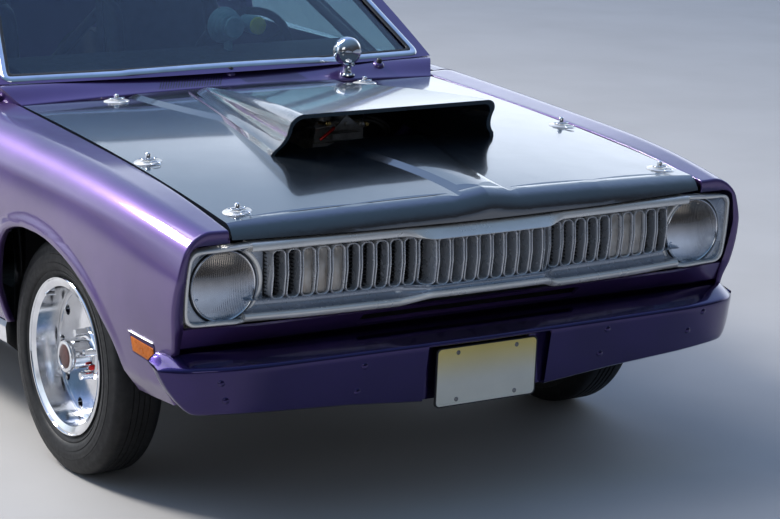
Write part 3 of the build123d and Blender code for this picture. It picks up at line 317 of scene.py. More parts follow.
def add(name, mesh, finish, angle=35, body="body", bevel=0.0, wall=0.0, replace=()):
    """Make a mesh an object that rides on a body and takes a finish; one with a wall is open."""
    data = bpy.data.meshes.new(name)
    data.from_pydata([tuple(v) for v in mesh.verts], [], mesh.faces)
    work = bmesh.new()
    work.from_mesh(data)
    bmesh.ops.remove_doubles(work, verts=work.verts, dist=0.00002)
    if not wall:
        bmesh.ops.recalc_face_normals(work, faces=work.faces)
    work.to_mesh(data)
    work.free()
    data.materials.append(finish)
    data.shade_smooth()
    data.set_sharp_from_angle(angle=math.radians(angle))
    obj = bpy.data.objects.new(name, data)
    bpy.context.scene.collection.objects.link(obj)
    if bevel:
        modifier = obj.modifiers.new("bevel", "BEVEL")
        modifier.width = bevel * MM
        modifier.segments = 2
        modifier.limit_method = "ANGLE"
    if wall:
        modifier = obj.modifiers.new("wall", "SOLIDIFY")
        modifier.thickness = wall * MM
        modifier.offset = -1
    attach(obj, body)
    if replace:
        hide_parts(*replace)
    return obj


def tree_of(node):
    data = NODES[node].data
    return BVHTree.FromPolygons([v.co for v in data.vertices], [tuple(p.vertices) for p in data.polygons])


def on_top(tree, x, y):
    """The highest point of a surface at x and y in millimetres, and its normal."""
    hit, normal, _, _ = tree.ray_cast(P(x, y, 2000), Vector((0, 0, -1)))
    return hit, normal


def rounded(x0, x1, z0, z1, r, steps=5):
    """A rectangle of (x, z) points with rounded corners."""
    points = []
    for cx, cz, start in ((x1 - r, z0 + r, -90), (x1 - r, z1 - r, 0),
                          (x0 + r, z1 - r, 90), (x0 + r, z0 + r, 180)):
        for k in range(steps + 1):
            t = math.radians(start + 90 * k / steps)
            points.append((cx + r * math.cos(t), cz + r * math.sin(t)))
    return points


def spaced(low, high, count):
    return [low + (high - low) * k / count for k in range(count + 1)]


def smooth(share):
    """A soft step from 0 to 1."""
    share = min(1.0, max(0.0, share))
    return share * share * (3 - 2 * share)


def spline(xs, ys):
    """A smooth line through a few values, as a function."""
    n = len(xs)
    gaps = [xs[i + 1] - xs[i] for i in range(n - 1)]
    bends = [0.0] * n
    for _ in range(60):
        for i in range(1, n - 1):
            pull = 6 * ((ys[i + 1] - ys[i]) / gaps[i] - (ys[i] - ys[i - 1]) / gaps[i - 1])
            bends[i] = (pull - gaps[i - 1] * bends[i - 1] - gaps[i] * bends[i + 1]) / (2 * (gaps[i - 1] + gaps[i]))

    def value(x):
        i = max(0, min(n - 2, sum(1 for edge in xs[1:-1] if x >= edge)))
        h, a, b = gaps[i], xs[i + 1] - x, x - xs[i]
        curve = (bends[i] * a ** 3 + bends[i + 1] * b ** 3) / (6 * h)
        return curve + (ys[i] / h - bends[i] * h / 6) * a + (ys[i + 1] / h - bends[i + 1] * h / 6) * b
    return value


# Front fender skins: sections of the side, swept along the car around the wheel arch
FENDER_ROWS = (
    (-705, (724, 800), (846, 745), (862, 676), (846, 540), (822, 368)),
    (-450, (715, 836), (868, 772), (883, 678), (869, 500), (845, 366)),
    (0, (704, 873), (880, 790), (892, 688), (873, 480), (838, 362)),
    (330, (697, 890), (889, 798), (900, 680), (876, 470), (830, 352)),
    (636, (690, 905), (894, 802), (905, 670), (884, 455), (832, 352)),
)
ROW_Y = [row[0] for row in FENDER_ROWS]
SIDE_LINES = [[spline(ROW_Y, [row[k][axis] for row in FENDER_ROWS]) for axis in (0, 1)] for k in range(1, 6)]
CROWN_RISE = 0.03
ARCH_MID = 65
ARCH_FRONT = [(65, 669), (30, 669), (-40, 662), (-110, 646), (-170, 627), (-235, 598), (-290, 562), (-330, 522),
              (-358, 482), (-376, 440), (-394, 395), (-412, 354)]
ARCH_REAR = [(65, 669), (100, 669), (158, 659), (212, 638), (250, 598), (274, 550), (302, 490), (322, 445),
             (332, 400), (332, 352)]
NOSE_LINE = [(-588, 300), (-588, 480), (-640, 492), (-646, 518), (-662, 562), (-688, 690), (-690, 770),
             (-684, 812), (-684, 900)]
NOSE_ROLL, DOOR_ROLL, HOOD_ROLL, ARCH_ROLL = 8, 3, 2.5, 7
DOOR_EDGE = 636
TUCK_Z, TUCK_SLOPE = 406, 0.42
OPENING_HALF, OPENING_MID, OPENING_LOW, OPENING_TOP, OPENING_CORNER = 840, 662, 567, 773, 24
RETURN, SHEET = 14, 2.5
LIP_WIDTH, LIP_HEIGHT = 34, 6.5


def circle(a, m, b):
    """Centre and radius of the circle through three points."""
    d = 2 * (a[0] * (m[1] - b[1]) + m[0] * (b[1] - a[1]) + b[0] * (a[1] - m[1]))
    sa, sm, sb = (p[0] ** 2 + p[1] ** 2 for p in (a, m, b))
    cx = (sa * (m[1] - b[1]) + sm * (b[1] - a[1]) + sb * (a[1] - m[1])) / d
    cz = (sa * (b[0] - m[0]) + sm * (a[0] - b[0]) + sb * (m[0] - a[0])) / d
    return cx, cz, math.hypot(a[0] - cx, a[1] - cz)


def crown_arc(inner, shoulder, widest, lower, count):
    """The crown's arc, which runs smoothly from the top line into the shoulder."""
    lean_up = math.atan2(widest[0] - shoulder[0], shoulder[1] - widest[1])
    lean_down = math.atan2(lower[0] - widest[0], widest[1] - lower[1])
    upper, under = math.dist(shoulder, widest), math.dist(widest, lower)
    lean = lean_up + (lean_up - lean_down) * upper / (upper + under)
    rise = math.atan(CROWN_RISE)
    height = inner[1] + CROWN_RISE * (shoulder[0] - inner[0]) - shoulder[1]
    leg = height / (math.cos(lean) + CROWN_RISE * math.sin(lean))
    corner = (shoulder[0] - leg * math.sin(lean), shoulder[1] + leg * math.cos(lean))
    crown = (corner[0] - leg * math.cos(rise), corner[1] - leg * math.sin(rise))
    turn = math.pi / 2 - lean + rise
    radius = leg / math.tan(turn / 2)
    cx, cz = crown[0] + radius * math.sin(rise), crown[1] - radius * math.cos(rise)
    start = math.pi / 2 + rise
    return [(cx + radius * math.cos(start - turn * k / count), cz + radius * math.sin(start - turn * k / count))
            for k in range(count + 1)]


def side_points(y):
    y = max(ROW_Y[0], min(ROW_Y[-1], y))
    return [(fx(y), fz(y)) for fx, fz in SIDE_LINES]


def side_x(y, z):
    """Half width of the fender's side at y and z, below the shoulder; in front it tucks in at the bottom."""
    _, shoulder, widest, lower, bottom = side_points(y)
    if z < lower[1]:
        share = (lower[1] - z) / (lower[1] - bottom[1])
        tuck = max(0, TUCK_Z - z) * TUCK_SLOPE if y < -200 else 0
        return lower[0] + share * (bottom[0] - lower[0]) - tuck
    cx, cz, r = circle(shoulder, widest, lower)
    return cx + math.sqrt(r * r - (z - cz) ** 2)


def side_normal(y, z):
    slope = (side_x(y, z + 2) - side_x(y, z - 2)) / 4
    return 1 / math.hypot(1, slope), -slope / math.hypot(1, slope)


def top_section(y, low):
    """The fender's section from the flange at the hood, over the crown and down to a height, with normals."""
    inner, shoulder, widest, lower, _ = side_points(y)
    points = [(inner[0], inner[1] - 16)]
    for k in range(5):
        t = math.pi / 2 * k / 4
        points.append((inner[0] + HOOD_ROLL * (1 - math.cos(t)), inner[1] - HOOD_ROLL * (1 - math.sin(t))))
    crown = crown_arc(inner, shoulder, widest, lower, 16)
    start = points[-1]
    points.extend((start[0] + (crown[0][0] - start[0]) * s, start[1] + (crown[0][1] - start[1]) * s)
                  for s in spaced(0.15, 1, 7)[:-1])
    points.extend(crown)
    points.extend((side_x(y, z), z) for z in spaced(shoulder[1], low, 14)[1:])
    normals = []
    for i, p in enumerate(points):
        a, b = points[max(0, i - 1)], points[min(len(points) - 1, i + 1)]
        along = Vector((b[0] - a[0], b[1] - a[1])).normalized()
        normals.append(side_normal(y, p[1]) if i > len(points) - 12 else (-along.y, along.x))
    return points, normals


def at_height(line, z):
    """y of a line of (y, z) points at a height; the line runs one way in z."""
    for (ya, za), (yb, zb) in zip(line, line[1:]):
        if min(za, zb) <= z <= max(za, zb) and za != zb:
            return ya + (yb - ya) * (z - za) / (zb - za)
    return line[0][0] if abs(z - line[0][1]) < abs(z - line[-1][1]) else line[-1][0]


def arch_branch(points):
    """One half of the arch from its top down, smoothed and pulled out by the lip's roll."""
    line = []
    for i in range(len(points) - 1):
        a, b, c, d = (Vector(points[max(0, min(len(points) - 1, i + k))]) for k in (-1, 0, 1, 2))
        for k in range(6):
            t = k / 6
            value = 2 * b + (c - a) * t + (2 * a - 5 * b + 4 * c - d) * t * t
            line.append(0.5 * (value + (3 * b - a - 3 * c + d) * t ** 3))
    line.append(Vector(points[-1]))
    side = 1 if points[-1][0] > points[0][0] else -1
    moved = []
    for i, p in enumerate(line):
        along = (line[min(len(line) - 1, i + 1)] - line[max(0, i - 1)]).normalized()
        if i == 0:
            along = Vector((side, 0))
        moved.append(p + Vector((-along.y, along.x)) * (side * ARCH_ROLL))
    return moved


front_branch, rear_branch = arch_branch(ARCH_FRONT), arch_branch(ARCH_REAR)
ARCH_TOP = front_branch[0].y


def lip_height(y, z):
    """How far the wheel arch's flared lip stands out at a point."""
    if z > ARCH_TOP + LIP_WIDTH or not -480 < y < 400:
        return 0.0
    away = min((Vector((y, z)) - q).length for branch in (front_branch, rear_branch) for q in branch)
    fade = smooth((z - 400) / 150) if y < 0 else 1.0
    return LIP_HEIGHT * fade * (1 - smooth((away - 7) / (LIP_WIDTH - 7)))


def skin_point(y, x, z, normal, inward=0.0):
    return P(x - normal[0] * inward, y, z - normal[1] * inward)


def nose_lap(x, z, normal, roll):
    """How far the nose's face reaches inward, up to the outline of the lamp's bezel."""
    for lap in range(6, 70):
        px, pz = x - normal[0] * (roll + lap), z - normal[1] * (roll + lap)
        edge = OPENING_HALF - 10 * ((max(pz, OPENING_LOW) - OPENING_MID) / 96) ** 2
        beside, over = max(0, px - edge + OPENING_CORNER), max(0, pz - OPENING_TOP + OPENING_CORNER)
        if math.hypot(beside, over) <= OPENING_CORNER:
            break
    return lap


def end_column(x, z, normal, y, roll, way):
    """Points round a rolled end; way is -1 at the nose and 1 at the door."""
    points = []
    for k in range(1, 6):
        t = math.pi / 2 * k / 5
        points.append(skin_point(y + way * roll * math.sin(t), x, z, normal, roll * (1 - math.cos(t))))
    lap = nose_lap(x, z, normal, roll) if way < 0 else 12
    points.append(skin_point(y + way * roll, x, z, normal, roll + lap))
    return points


FRONT_COLUMNS, REAR_COLUMNS, LOW_ROWS = 56, 40, 38
skin = Mesh()
front_share = [1 - (1 - s) ** 1.5 for s in spaced(0, 1, FRONT_COLUMNS)]
rear_share = [s ** 1.4 for s in spaced(0, 1, REAR_COLUMNS)]
sections = {}


def section(y):
    key = round(y, 3)
    if key not in sections:
        sections[key] = top_section(y, ARCH_TOP)
    return sections[key]


rows = []
for j in range(len(section(0)[0])):
    nose = at_height(NOSE_LINE, section(-680)[0][j][1]) + NOSE_ROLL
    ys = [nose + (ARCH_MID - nose) * s for s in front_share]
    ys += [ARCH_MID + (DOOR_EDGE - DOOR_ROLL - ARCH_MID) * s for s in rear_share[1:]]
    row = []
    for y in ys:
        points, normals = section(y)
        (x, z), normal = points[j], normals[j]
        row.append(skin_point(y, x + lip_height(y, z), z, normal))
    points, normals = section(ys[0])
    start = end_column(*points[j], normals[max(j, 6)], ys[0], NOSE_ROLL, -1)
    points, normals = section(ys[-1])
    rows.append(start[::-1] + row + end_column(*points[j], normals[j], ys[-1], DOOR_ROLL, 1))
skin.rings(rows[::-1], closed=False)


def low_patch(branch, end_line, shares, low, way):
    """The fender's side in front of or behind the wheel; returns its edge along the arch."""
    rows, edge = [], []
    for u in spaced(0, 1, LOW_ROWS):
        at_arch = ARCH_TOP - (ARCH_TOP - low) * u * u
        at_end = ARCH_TOP - (ARCH_TOP - low) * u
        y_arch = at_height([(q.x, q.y) for q in branch], at_arch)
        y_end = at_height(end_line, at_end)
        row = []
        for s in shares:
            y, z = y_end + (y_arch - y_end) * s, at_end + (at_arch - at_end) * s
            row.append(P(side_x(y, z) + lip_height(y, z), y, z))
        tail = end_column(side_x(y_end, at_end), at_end, side_normal(y_end, at_end), y_end,
                          NOSE_ROLL if way < 0 else DOOR_ROLL, way)
        rows.append(tail[::-1] + row)
        edge.append(row[-1])
    rows.append([v - Vector(((RETURN + 2) * MM, 0, 0)) for v in rows[-1]])
    if way > 0:
        rows = [row[::-1] for row in rows]
    skin.rings(rows[::-1], closed=False)
    return edge


nose_line = [(y + NOSE_ROLL, z) for y, z in NOSE_LINE]
door_line = [(DOOR_EDGE - DOOR_ROLL, 900), (DOOR_EDGE - DOOR_ROLL, 300)]
front_edge = low_patch(front_branch, nose_line, front_share, 355, -1)
rear_edge = low_patch(rear_branch, door_line, [1 - s for s in reversed(rear_share)], 353, 1)
arch_edge = front_edge[::-1] + rear_edge[1:]
rolls = [arch_edge]
inward = []
for i in range(len(arch_edge)):
    along = arch_edge[min(i + 1, len(arch_edge) - 1)] - arch_edge[max(i - 1, 0)]
    inward.append(Vector((0, along.z, -along.y)).normalized())
for k in range(1, 6):
    t = math.pi / 2 * k / 5
    rolls.append([p + d * (ARCH_ROLL * MM * math.sin(t)) - Vector((ARCH_ROLL * MM * (1 - math.cos(t)), 0, 0))
                  for p, d in zip(arch_edge, inward)])
rolls.append([p - Vector((RETURN * MM, 0, 0)) for p in rolls[-1]])
skin.rings(rolls[::-1], closed=False)
skin.mirrored()
add("front_fender_skins", skin, PAINT, 50, wall=SHEET, replace=("front_fenders",))

# Side marker lamps with a bright upper rim
lenses, rims, housing = Mesh(), Mesh(), Mesh()


def marker_point(s, t, out):
    """A point of the marker lamp; s runs from its rear to its front and t from its bottom to its top."""
    y = -466 - 97 * s
    z = 471 - 13 * s + t * (39 + 2 * s)
    return P(side_x(y, z) + out, y, z)


lens_rings = [[marker_point(s, t, out)
               for s, t in rounded(inset, 1 - inset, 2.5 * inset, 1 - 2.5 * inset, 0.04, 3)]
              for inset, out in ((0, -6), (0, 1.5), (0.012, 3.2), (0.03, 3.6))]
lenses.rings(lens_rings)
lenses.close(len(lens_rings[0]))
housing.rings([[marker_point(s, t, out) for s, t in rounded(-0.03, 1.03, -0.10, 1.24, 0.06, 3)]
               for out in (-6, 0.8, 1.4)] + [[marker_point(s, t, 1.2) for s, t in rounded(0, 1, 0, 1, 0.05, 3)]])
rims.tube([marker_point(s, 1.32, 2.2) for s in (-0.04, 0.2, 0.5, 0.8, 1.0)], 1.7, 8)
for mesh in (lenses, rims, housing):
    mesh.mirrored()
# Its darker purple is painted shade: the housing's face is body-coloured.
add("marker_housings", housing, INNER_AND_SHADED_PAINT, 40)
add("marker_lenses", lenses, AMBER, 40, replace=("marker_lamps",))
add("marker_rims", rims, CHROME, 60)

# Grille: loops, trims with the stepped centre section, and the mesh behind
LAMP_X, LAMP_Y, LAMP_Z = 721, -652, 661
LOOP_PITCH, LOOP_GAP, LOOP_DEPTH, CENTRE_STEP = 40.5, 1.6, 46, 30
LOOP_LOW, LOOP_TOP, LOOP_MID = 621, 745, 684
CENTRE_HALF, CENTRE_FADE, GRILLE_HALF = 164, 250, 625


def front_line(x):
    """The grille's front line in plan, without its centre section."""
    return -722 + 27 * (x / GRILLE_HALF) ** 2


def loop_y(x):
    """Front line of the loops, which step forward in the centre section."""
    return front_line(x) - CENTRE_STEP * min(1, max(0, (202 - abs(x)) / 38))


def loop_lean(z):
    """How far a loop leans back at a height, from its kink in the middle."""
    if z < LOOP_MID:
        return 9 * (LOOP_MID - z) / (LOOP_MID - LOOP_LOW)
    return 5 * (z - LOOP_MID) / (LOOP_TOP - LOOP_MID)


def loop_outline(x0, x1, inset, r):
    """A loop's tall rounded outline with its straight sides divided, so that they can kink."""
    points = rounded(x0 + inset, x1 - inset, LOOP_LOW + inset, LOOP_TOP - inset, r, 6)
    outline = []
    for a, b in zip(points, points[1:] + points[:1]):
        parts = 6 if abs(a[1] - b[1]) > 40 else 1
        outline.extend((a[0] + (b[0] - a[0]) * k / parts, a[1] + (b[1] - a[1]) * k / parts) for k in range(parts))
    return outline


loops = Mesh()
lenses = Mesh()
for k in range(-15, 15):
    x0, x1 = k * LOOP_PITCH + LOOP_GAP, (k + 1) * LOOP_PITCH - LOOP_GAP
    rings = []
    for inset, back in ((0, LOOP_DEPTH), (0, 4), (0.7, 1.2), (2.0, 0), (3.3, 1.2), (4.2, 4), (4.6, LOOP_DEPTH)):
        rings.append([P(x, front_line(x) + back if back == LOOP_DEPTH else loop_y(x) + loop_lean(z) + back, z)
                      for x, z in loop_outline(x0, x1, inset, 14 - 0.8 * inset)])
    loops.rings(rings, wrap=True)
    if 10 <= abs(k + 0.5) - 0.5 <= 12:
        fronts = [[P(x, loop_y(x) + depth + 0.8 * loop_lean(z), z) for x, z in loop_outline(x0, x1, inset, 9)]
                  for inset, depth in ((4.3, 24), (4.6, 12), (8, 8))]
        lenses.rings(fronts)
        lenses.close(len(fronts[0]))
add("grille_loops", loops, ARGENT, 50, replace=("grille",))
add("parking_lenses", lenses, PARKING, 60)


def strip(mesh, outline, xs):
    """Sweep a closed (dy, z) outline across the car along the grille's front line."""
    mesh.rings([[P(x, front_line(x) + dy, z) for dy, z in outline] for x in xs], caps=True)


def band(near, far, low, high):
    return [(near, low), (near, high), (far, high), (far, low)]


UPPER_SIDE = [(45, 770), (3, 770), (0, 769.5), (-2, 768), (-4, 763), (-4.5, 757), (-4, 752), (-2, 750), (3, 748),
              (45, 743)]
UPPER_CENTRE = [(75, 770), (25, 770), (21, 769.5), (18, 767), (11, 759), (4, 751), (-2, 746), (-4, 744), (-2, 742),
                (75, 741)]
LOWER_SIDE = [(46, 566), (25, 566), (20, 567), (16, 570), (13, 576), (12, 581), (14, 585), (20, 588), (30, 591),
              (37, 597), (39, 606), (36, 614), (27, 619), (14, 621), (12, 623), (46, 624)]
LOWER_CENTRE = [(76, 588), (18, 588), (12, 589), (7, 592), (3, 597), (2, 602), (3, 606), (6, 608), (9, 609),
                (11, 611), (12, 613), (12, 616), (10, 619), (8, 621), (9, 623), (76, 624)]
TRIM_HALF = 668
TRIM_X = [-TRIM_HALF]
for low, high, count in ((-TRIM_HALF, -CENTRE_FADE, 16), (-CENTRE_FADE, -CENTRE_HALF, 12),
                         (-CENTRE_HALF, CENTRE_HALF, 10), (CENTRE_HALF, CENTRE_FADE, 12),
                         (CENTRE_FADE, TRIM_HALF, 16)):
    TRIM_X += spaced(low, high, count)[1:]
# The upper trim and the lower trim's lip take the lit copy of the argent, a painted sunlit highlight; the lower trim's
# channel takes the shaded copy, painted shade.
for name, finish, side_line, centre_line, push in (
        ("grille_trim_upper", SUNLIT_BRIGHT, UPPER_SIDE, UPPER_CENTRE, 9),
        ("grille_trim_lip", SUNLIT_BRIGHT, LOWER_SIDE[:8] + [(46, 588)], LOWER_CENTRE[:8] + [(76, 608)], -5),
        ("grille_trim_channel", SHADED_ARGENT, [(46, 588)] + LOWER_SIDE[7:], [(76, 608)] + LOWER_CENTRE[7:], -5)):
    trim = Mesh()
    rings = []
    for x in TRIM_X:
        share = smooth((CENTRE_FADE - abs(x)) / (CENTRE_FADE - CENTRE_HALF))
        y = front_line(x) - CENTRE_STEP * share - push * smooth((abs(x) - 480) / 170)
        rings.append([P(x, y + a[0] + share * (b[0] - a[0]), a[1] + share * (b[1] - a[1]))
                      for a, b in zip(side_line, centre_line)])
    trim.rings(rings, caps=True)
    add(name, trim, finish, 38)
# The grille's ends take the shaded copy of the argent: painted shade.
ends = Mesh()
for side in SIDES:
    strip(ends, band(46, 54, 619, 746), [side * x for x in spaced(609, 672, 6)])
add("grille_ends", ends, SHADED_ARGENT, 38)

mesh_bars = Mesh()
for k in range(13):
    z = 625 + 9.4 * k
    strip(mesh_bars, [(43, z), (31, z + 1), (31, z + 2.6), (43, z + 3.6)], spaced(-608, 608, 24))
strip(mesh_bars, band(44, 50, 622, 745), spaced(-609, 609, 24))
for x in range(-600, 601, 10):
    strip(mesh_bars, band(34, 44, 622, 745), [x - 1, x + 1])
add("grille_mesh", mesh_bars, BLACK_PLASTIC)

# Lamps and their bezels
BEZEL_CENTRE = Vector((727, 664))
LAMP_CENTRE = Vector((LAMP_X, LAMP_Z))


def face_y(x, z):
    """The plane of the bezels' front edge."""
    return -709 + 0.117 * (x - 625) - 0.126 * (z - 762)


def bezel_outline():
    """The bezel's outline on the car's left, its corners rounded and its inner side an arc round the lamp."""
    arc = [(LAMP_X + 106 * math.cos(math.radians(a)), LAMP_Z + 104 * math.sin(math.radians(a)), 0.5)
           for a in range(122, 241, 6)]
    corners = arc + [(668, 567, 2), (826, 568, 30), (836, 660, 60), (825, 758, 28), (668, 769, 2)]
    points = []
    n = len(corners)
    for i in range(n):
        x, z, r = corners[i]
        here = Vector((x, z))
        before = (Vector(corners[i - 1][:2]) - here).normalized() * r
        after = (Vector(corners[(i + 1) % n][:2]) - here).normalized() * r
        points.extend(here + before * (1 - k / 8) ** 2 + after * (k / 8) ** 2 for k in range(9))
    dense = []
    for a, b in zip(points, points[1:] + points[:1]):
        parts = max(1, int((b - a).length / 8))
        dense.extend(a.lerp(b, k / parts) for k in range(parts))
    return dense


def bezel_ring(outline, side, inset, depth):
    """A line round the bezel; its inner arc is sunk behind the lamp's front."""
    ring = []
    for p in outline:
        q = p - (p - BEZEL_CENTRE).normalized() * inset
        sunk = 36 * smooth((702 - p.x) / 44) * smooth((104 - abs(p.y - 664)) / 18)
        ring.append(P(side * q.x, min(face_y(q.x, q.y) + depth + sunk, -642), q.y))
    return ring


for side, label in LABELS:
    outline = bezel_outline()
    spot = P(side * LAMP_X, LAMP_Y, LAMP_Z)
    lip, bezel, gap, glass, rim = (Mesh() for _ in range(5))
    # The bezel's lip takes the lit copy of the argent, a painted highlight; its bowl round the lamp takes the shaded
    # copy, painted shade.
    lip.rings([bezel_ring(outline, side, inset, depth) for inset, depth in (
        (0, 36), (0, 2), (0.8, -0.2), (2.6, -1.2), (6.4, -1.2), (8.6, -0.2), (9.8, 3), (10.4, 16))])
    add(f"bezel_lip_{label}", lip, SUNLIT_BRIGHT, 40)
    rings = [bezel_ring(outline, side, inset, depth) for inset, depth in ((7, 8), (10.0, 8), (12.0, 12))]
    for share in (0.18, 0.45, 0.75):
        ring = []
        for p, start in zip(outline, rings[2]):
            q = p - (p - BEZEL_CENTRE).normalized() * 12
            m = q.lerp(LAMP_CENTRE + (q - LAMP_CENTRE).normalized() * 97, share)
            front = (start.y - AXLE_Y) / MM
            ring.append(P(side * m.x, front * (1 - share) + (LAMP_Y - 4) * share, m.y))
        rings.append(ring)
    spokes = [(p - LAMP_CENTRE).normalized() for p in outline]
    for radius, y in ((97, LAMP_Y - 4), (94.5, LAMP_Y - 3), (93, LAMP_Y), (92, LAMP_Y + 20)):
        rings.append([P(side * (LAMP_X + t.x * radius), y, LAMP_Z + t.y * radius) for t in spokes])
    bezel.rings(rings)
    add(f"bezel_{label}", bezel, SHADED_ARGENT, 40, replace=("headlamp_bezels",) if side == 1 else ())
    gap.lathe([(20, 94), (2, 92), (-3, 91), (-5, 89), (-5, 86.5), (0, 85)], spot, ALONG, 72)
    add(f"lamp_ring_{label}", gap, BLACK_PLASTIC, replace=("headlamps",) if side == 1 else ())
    dome = [(-5 - 16 * (1 - (r / 85) ** 2), r) for r in (0.5, 12, 24, 36, 48, 58, 66, 73, 79, 83, 85)]
    glass.lathe(dome + [(0, 86), (8, 86), (8, 0.5)], spot, ALONG, 72)
    for turn in (80, 200, 320):
        t = math.radians(turn)
        glass.lathe([(4, 4), (-7, 4), (-9, 3), (-9.5, 0.5)],
                    P(side * LAMP_X + 77 * math.cos(t), LAMP_Y, LAMP_Z + 77 * math.sin(t)), ALONG, 12)
    add(f"lamp_lens_{label}", glass, LENS, 40)
    rim.lathe([(-3, 89), (-7, 88.5), (-8.5, 86.5), (-7.5, 84.5), (-3, 84)], spot, ALONG, 72)
    add(f"lamp_chrome_{label}", rim, CHROME, 60)

# Front bumper: rounded ridge, face leaning back, slanting ends and a recess for the plate
ridge_y = spline((0, 420, 720, 800, 848, 893), (-765, -757, -734, -712, -684, -634))
END_LINE = ((0, 320), (190, 321), (280, 329), (400, 340), (545, 348), (735, 355), (806, 356), (820, 359),
            (836, 372), (852, 392), (868, 417), (880, 441), (888, 466), (893, 474))
BUMPER_BACK = -592
TOP_ROUND = ((70, 0), (62, 0.02), (55, 0.07), (47, 0.16), (36, 0.32), (24, 0.50), (12, 0.68), (5, 0.79),
             (1.6, 0.88), (0.3, 1))
PLATE_RECESS = [(-727, 463), (-723, 458), (-723, 400), (-723, 335), (-722, 323), (-718, 321)]


def leaning(height):
    """How far the bumper's face draws back over a height."""
    return 24 * height / 150


def low_edge(x):
    for (xa, za), (xb, zb) in zip(END_LINE, END_LINE[1:]):
        if x <= xb:
            return za + (zb - za) * (x - xa) / (xb - xa)
    return END_LINE[-1][1]


half_x = [0, 60, 120, 178, 186.5, 189, 196] + spaced(230, 730, 18)
half_x += [748, 764, 780, 792, 798, 804, 810, 818, 826, 834, 843, 852, 861, 869, 876, 882, 886.5, 889.5]
bumper = Mesh()
rings = []
for x in [-x for x in reversed(half_x[1:])] + half_x:
    across = abs(x)
    y, low = ridge_y(across), low_edge(across)
    end = smooth((across - 790) / 90)
    high = 502 - 3 * end - 22 * (max(0, across - 860) / 33) ** 1.6
    ridge_z = max(473 - 4 * smooth((across - 500) / 320) - 5 * end, low + 1)
    lean = leaning(ridge_z - low)
    top = [(BUMPER_BACK, high + 1)] + [(y + out, high - fall * (high - ridge_z)) for out, fall in TOP_ROUND]
    if across < 187:
        face = [(y + 1, 470), (y + 5, 467), (y + 14, 465)] + PLATE_RECESS
    else:
        face = [(y, ridge_z - 4)] + [(y + lean * s, ridge_z - 4 - (ridge_z - 4 - low) * s) for s in
                                     (0.08, 0.2, 0.36, 0.54, 0.72, 0.88)]
        face += [(y + lean, low + 3), (y + lean + 4, low)]
    back = [(min(y + lean + 22, BUMPER_BACK), low),
            (min(y + 34, BUMPER_BACK), max(min(470, high - 4), low + 0.5)), (BUMPER_BACK, high - 3)]
    rings.append([P(x, min(py, BUMPER_BACK + 0.02 * k), pz) for k, (py, pz) in enumerate(top + face + back)])
bumper.rings(rings, caps=True)
add("bumper_skin", bumper, SHADED_BUMPER_PAINT, 40, replace=("front_bumper",))

bolts = Mesh()
for x, z in ((-757, 440), (-742, 394), (-373, 443), (-386, 376), (375, 451), (361, 384), (712, 456), (662, 409)):
    y = ridge_y(abs(x)) + leaning(472 - z)
    bolts.lathe([(2, 9.5), (-0.6, 9.5), (-2.2, 8), (-3.2, 5), (-3.6, 0.5)], P(x, y, z), (0, 1, -0.12), 20)
add("bumper_bolts", bolts, SHADED_BUMPER_PAINT, 50)


PLATE_TILT, PLATE_HALF, PLATE_LOW, PLATE_HIGH = 0.026, 152.4, 303, 455


def plate_ring(inset, out):
    return [P(x, -744 - PLATE_TILT * (z - PLATE_LOW) + out, z)
            for x, z in rounded(-PLATE_HALF + inset, PLATE_HALF - inset, PLATE_LOW + inset, PLATE_HIGH - inset,
                                12 - 0.5 * max(inset, 0))]


plate, holder, screws = Mesh(), Mesh(), Mesh()
rings = [plate_ring(inset, out) for inset, out in ((0, 3.0), (0, 0.4), (0.8, 0), (6, 0), (7, 1.0), (9, 1.0))]
plate.rings(rings)
plate.faces.append(tuple(range(len(plate.verts) - len(rings[0]), len(plate.verts))))
add("plate_face", plate, PLATE, 20, replace=("licence_plate",))
holder.rings([plate_ring(inset, out)
              for inset, out in ((-2.5, 6), (-2.5, 0), (-1.2, -1.2), (0.4, -1), (1.2, 0.6))])
holder.block(-60, -40, -740, -720, 420, 440)
holder.block(40, 60, -740, -720, 420, 440)
add("plate_frame", holder, BLACK_PLASTIC, 40)
for x in (-90, 90):
    for z in (318, 441):
        spot = P(x, -743 - PLATE_TILT * (z - PLATE_LOW) + 0.5, z)
        screws.lathe([(0, 6), (-1.5, 6), (-3, 4), (-3.4, 0.5)], spot, ALONG, 14)
add("plate_screws", screws, STEEL, 50)

# Valance below the grille, swept back at its ends, with a slot in the middle
SLOT_HALF, SLOT_START, SLOT_STOP = 335, 0.2, 0.8


def valance_ring(x, start, stop, apron):
    """A section of the valance: its slope between two shares, and below it the apron down to a height."""
    swept = smooth((abs(x) - 620) / 200)
    outer = [Vector((-690 + 34 * swept, 562)), Vector((-640 + 4 * swept, 512))]
    inner = [Vector((-681 + 34 * swept, 565)), Vector((-634 + 4 * swept, 520))]
    front = [outer[0].lerp(outer[1], start), outer[0].lerp(outer[1], stop)]
    rear = [inner[0].lerp(inner[1], stop), inner[0].lerp(inner[1], start)]
    if apron:
        front += [Vector((-600, 508)), Vector((-600, apron))]
        rear = [Vector((-592, apron)), Vector((-592, 515))] + rear
    return [P(x, p.x, p.y) for p in front + rear]


valance = Mesh()
for side in SIDES:
    spots = spaced(SLOT_HALF, 788, 20)
    outline = [valance_ring(side * x, 0, 1, 345) for x in spots]
    valance.rings(outline + [valance_ring(side * x, 0, 1, 500) for x in (788.5, 800, 812, 824, 838)], caps=True)
middle = spaced(-SLOT_HALF, SLOT_HALF, 16)
valance.rings([valance_ring(x, 0, SLOT_START, 0) for x in middle], caps=True)
valance.rings([valance_ring(x, SLOT_STOP, 1, 345) for x in middle], caps=True)
add("valance_skin", valance, PAINT, 30, replace=("front_valance",))

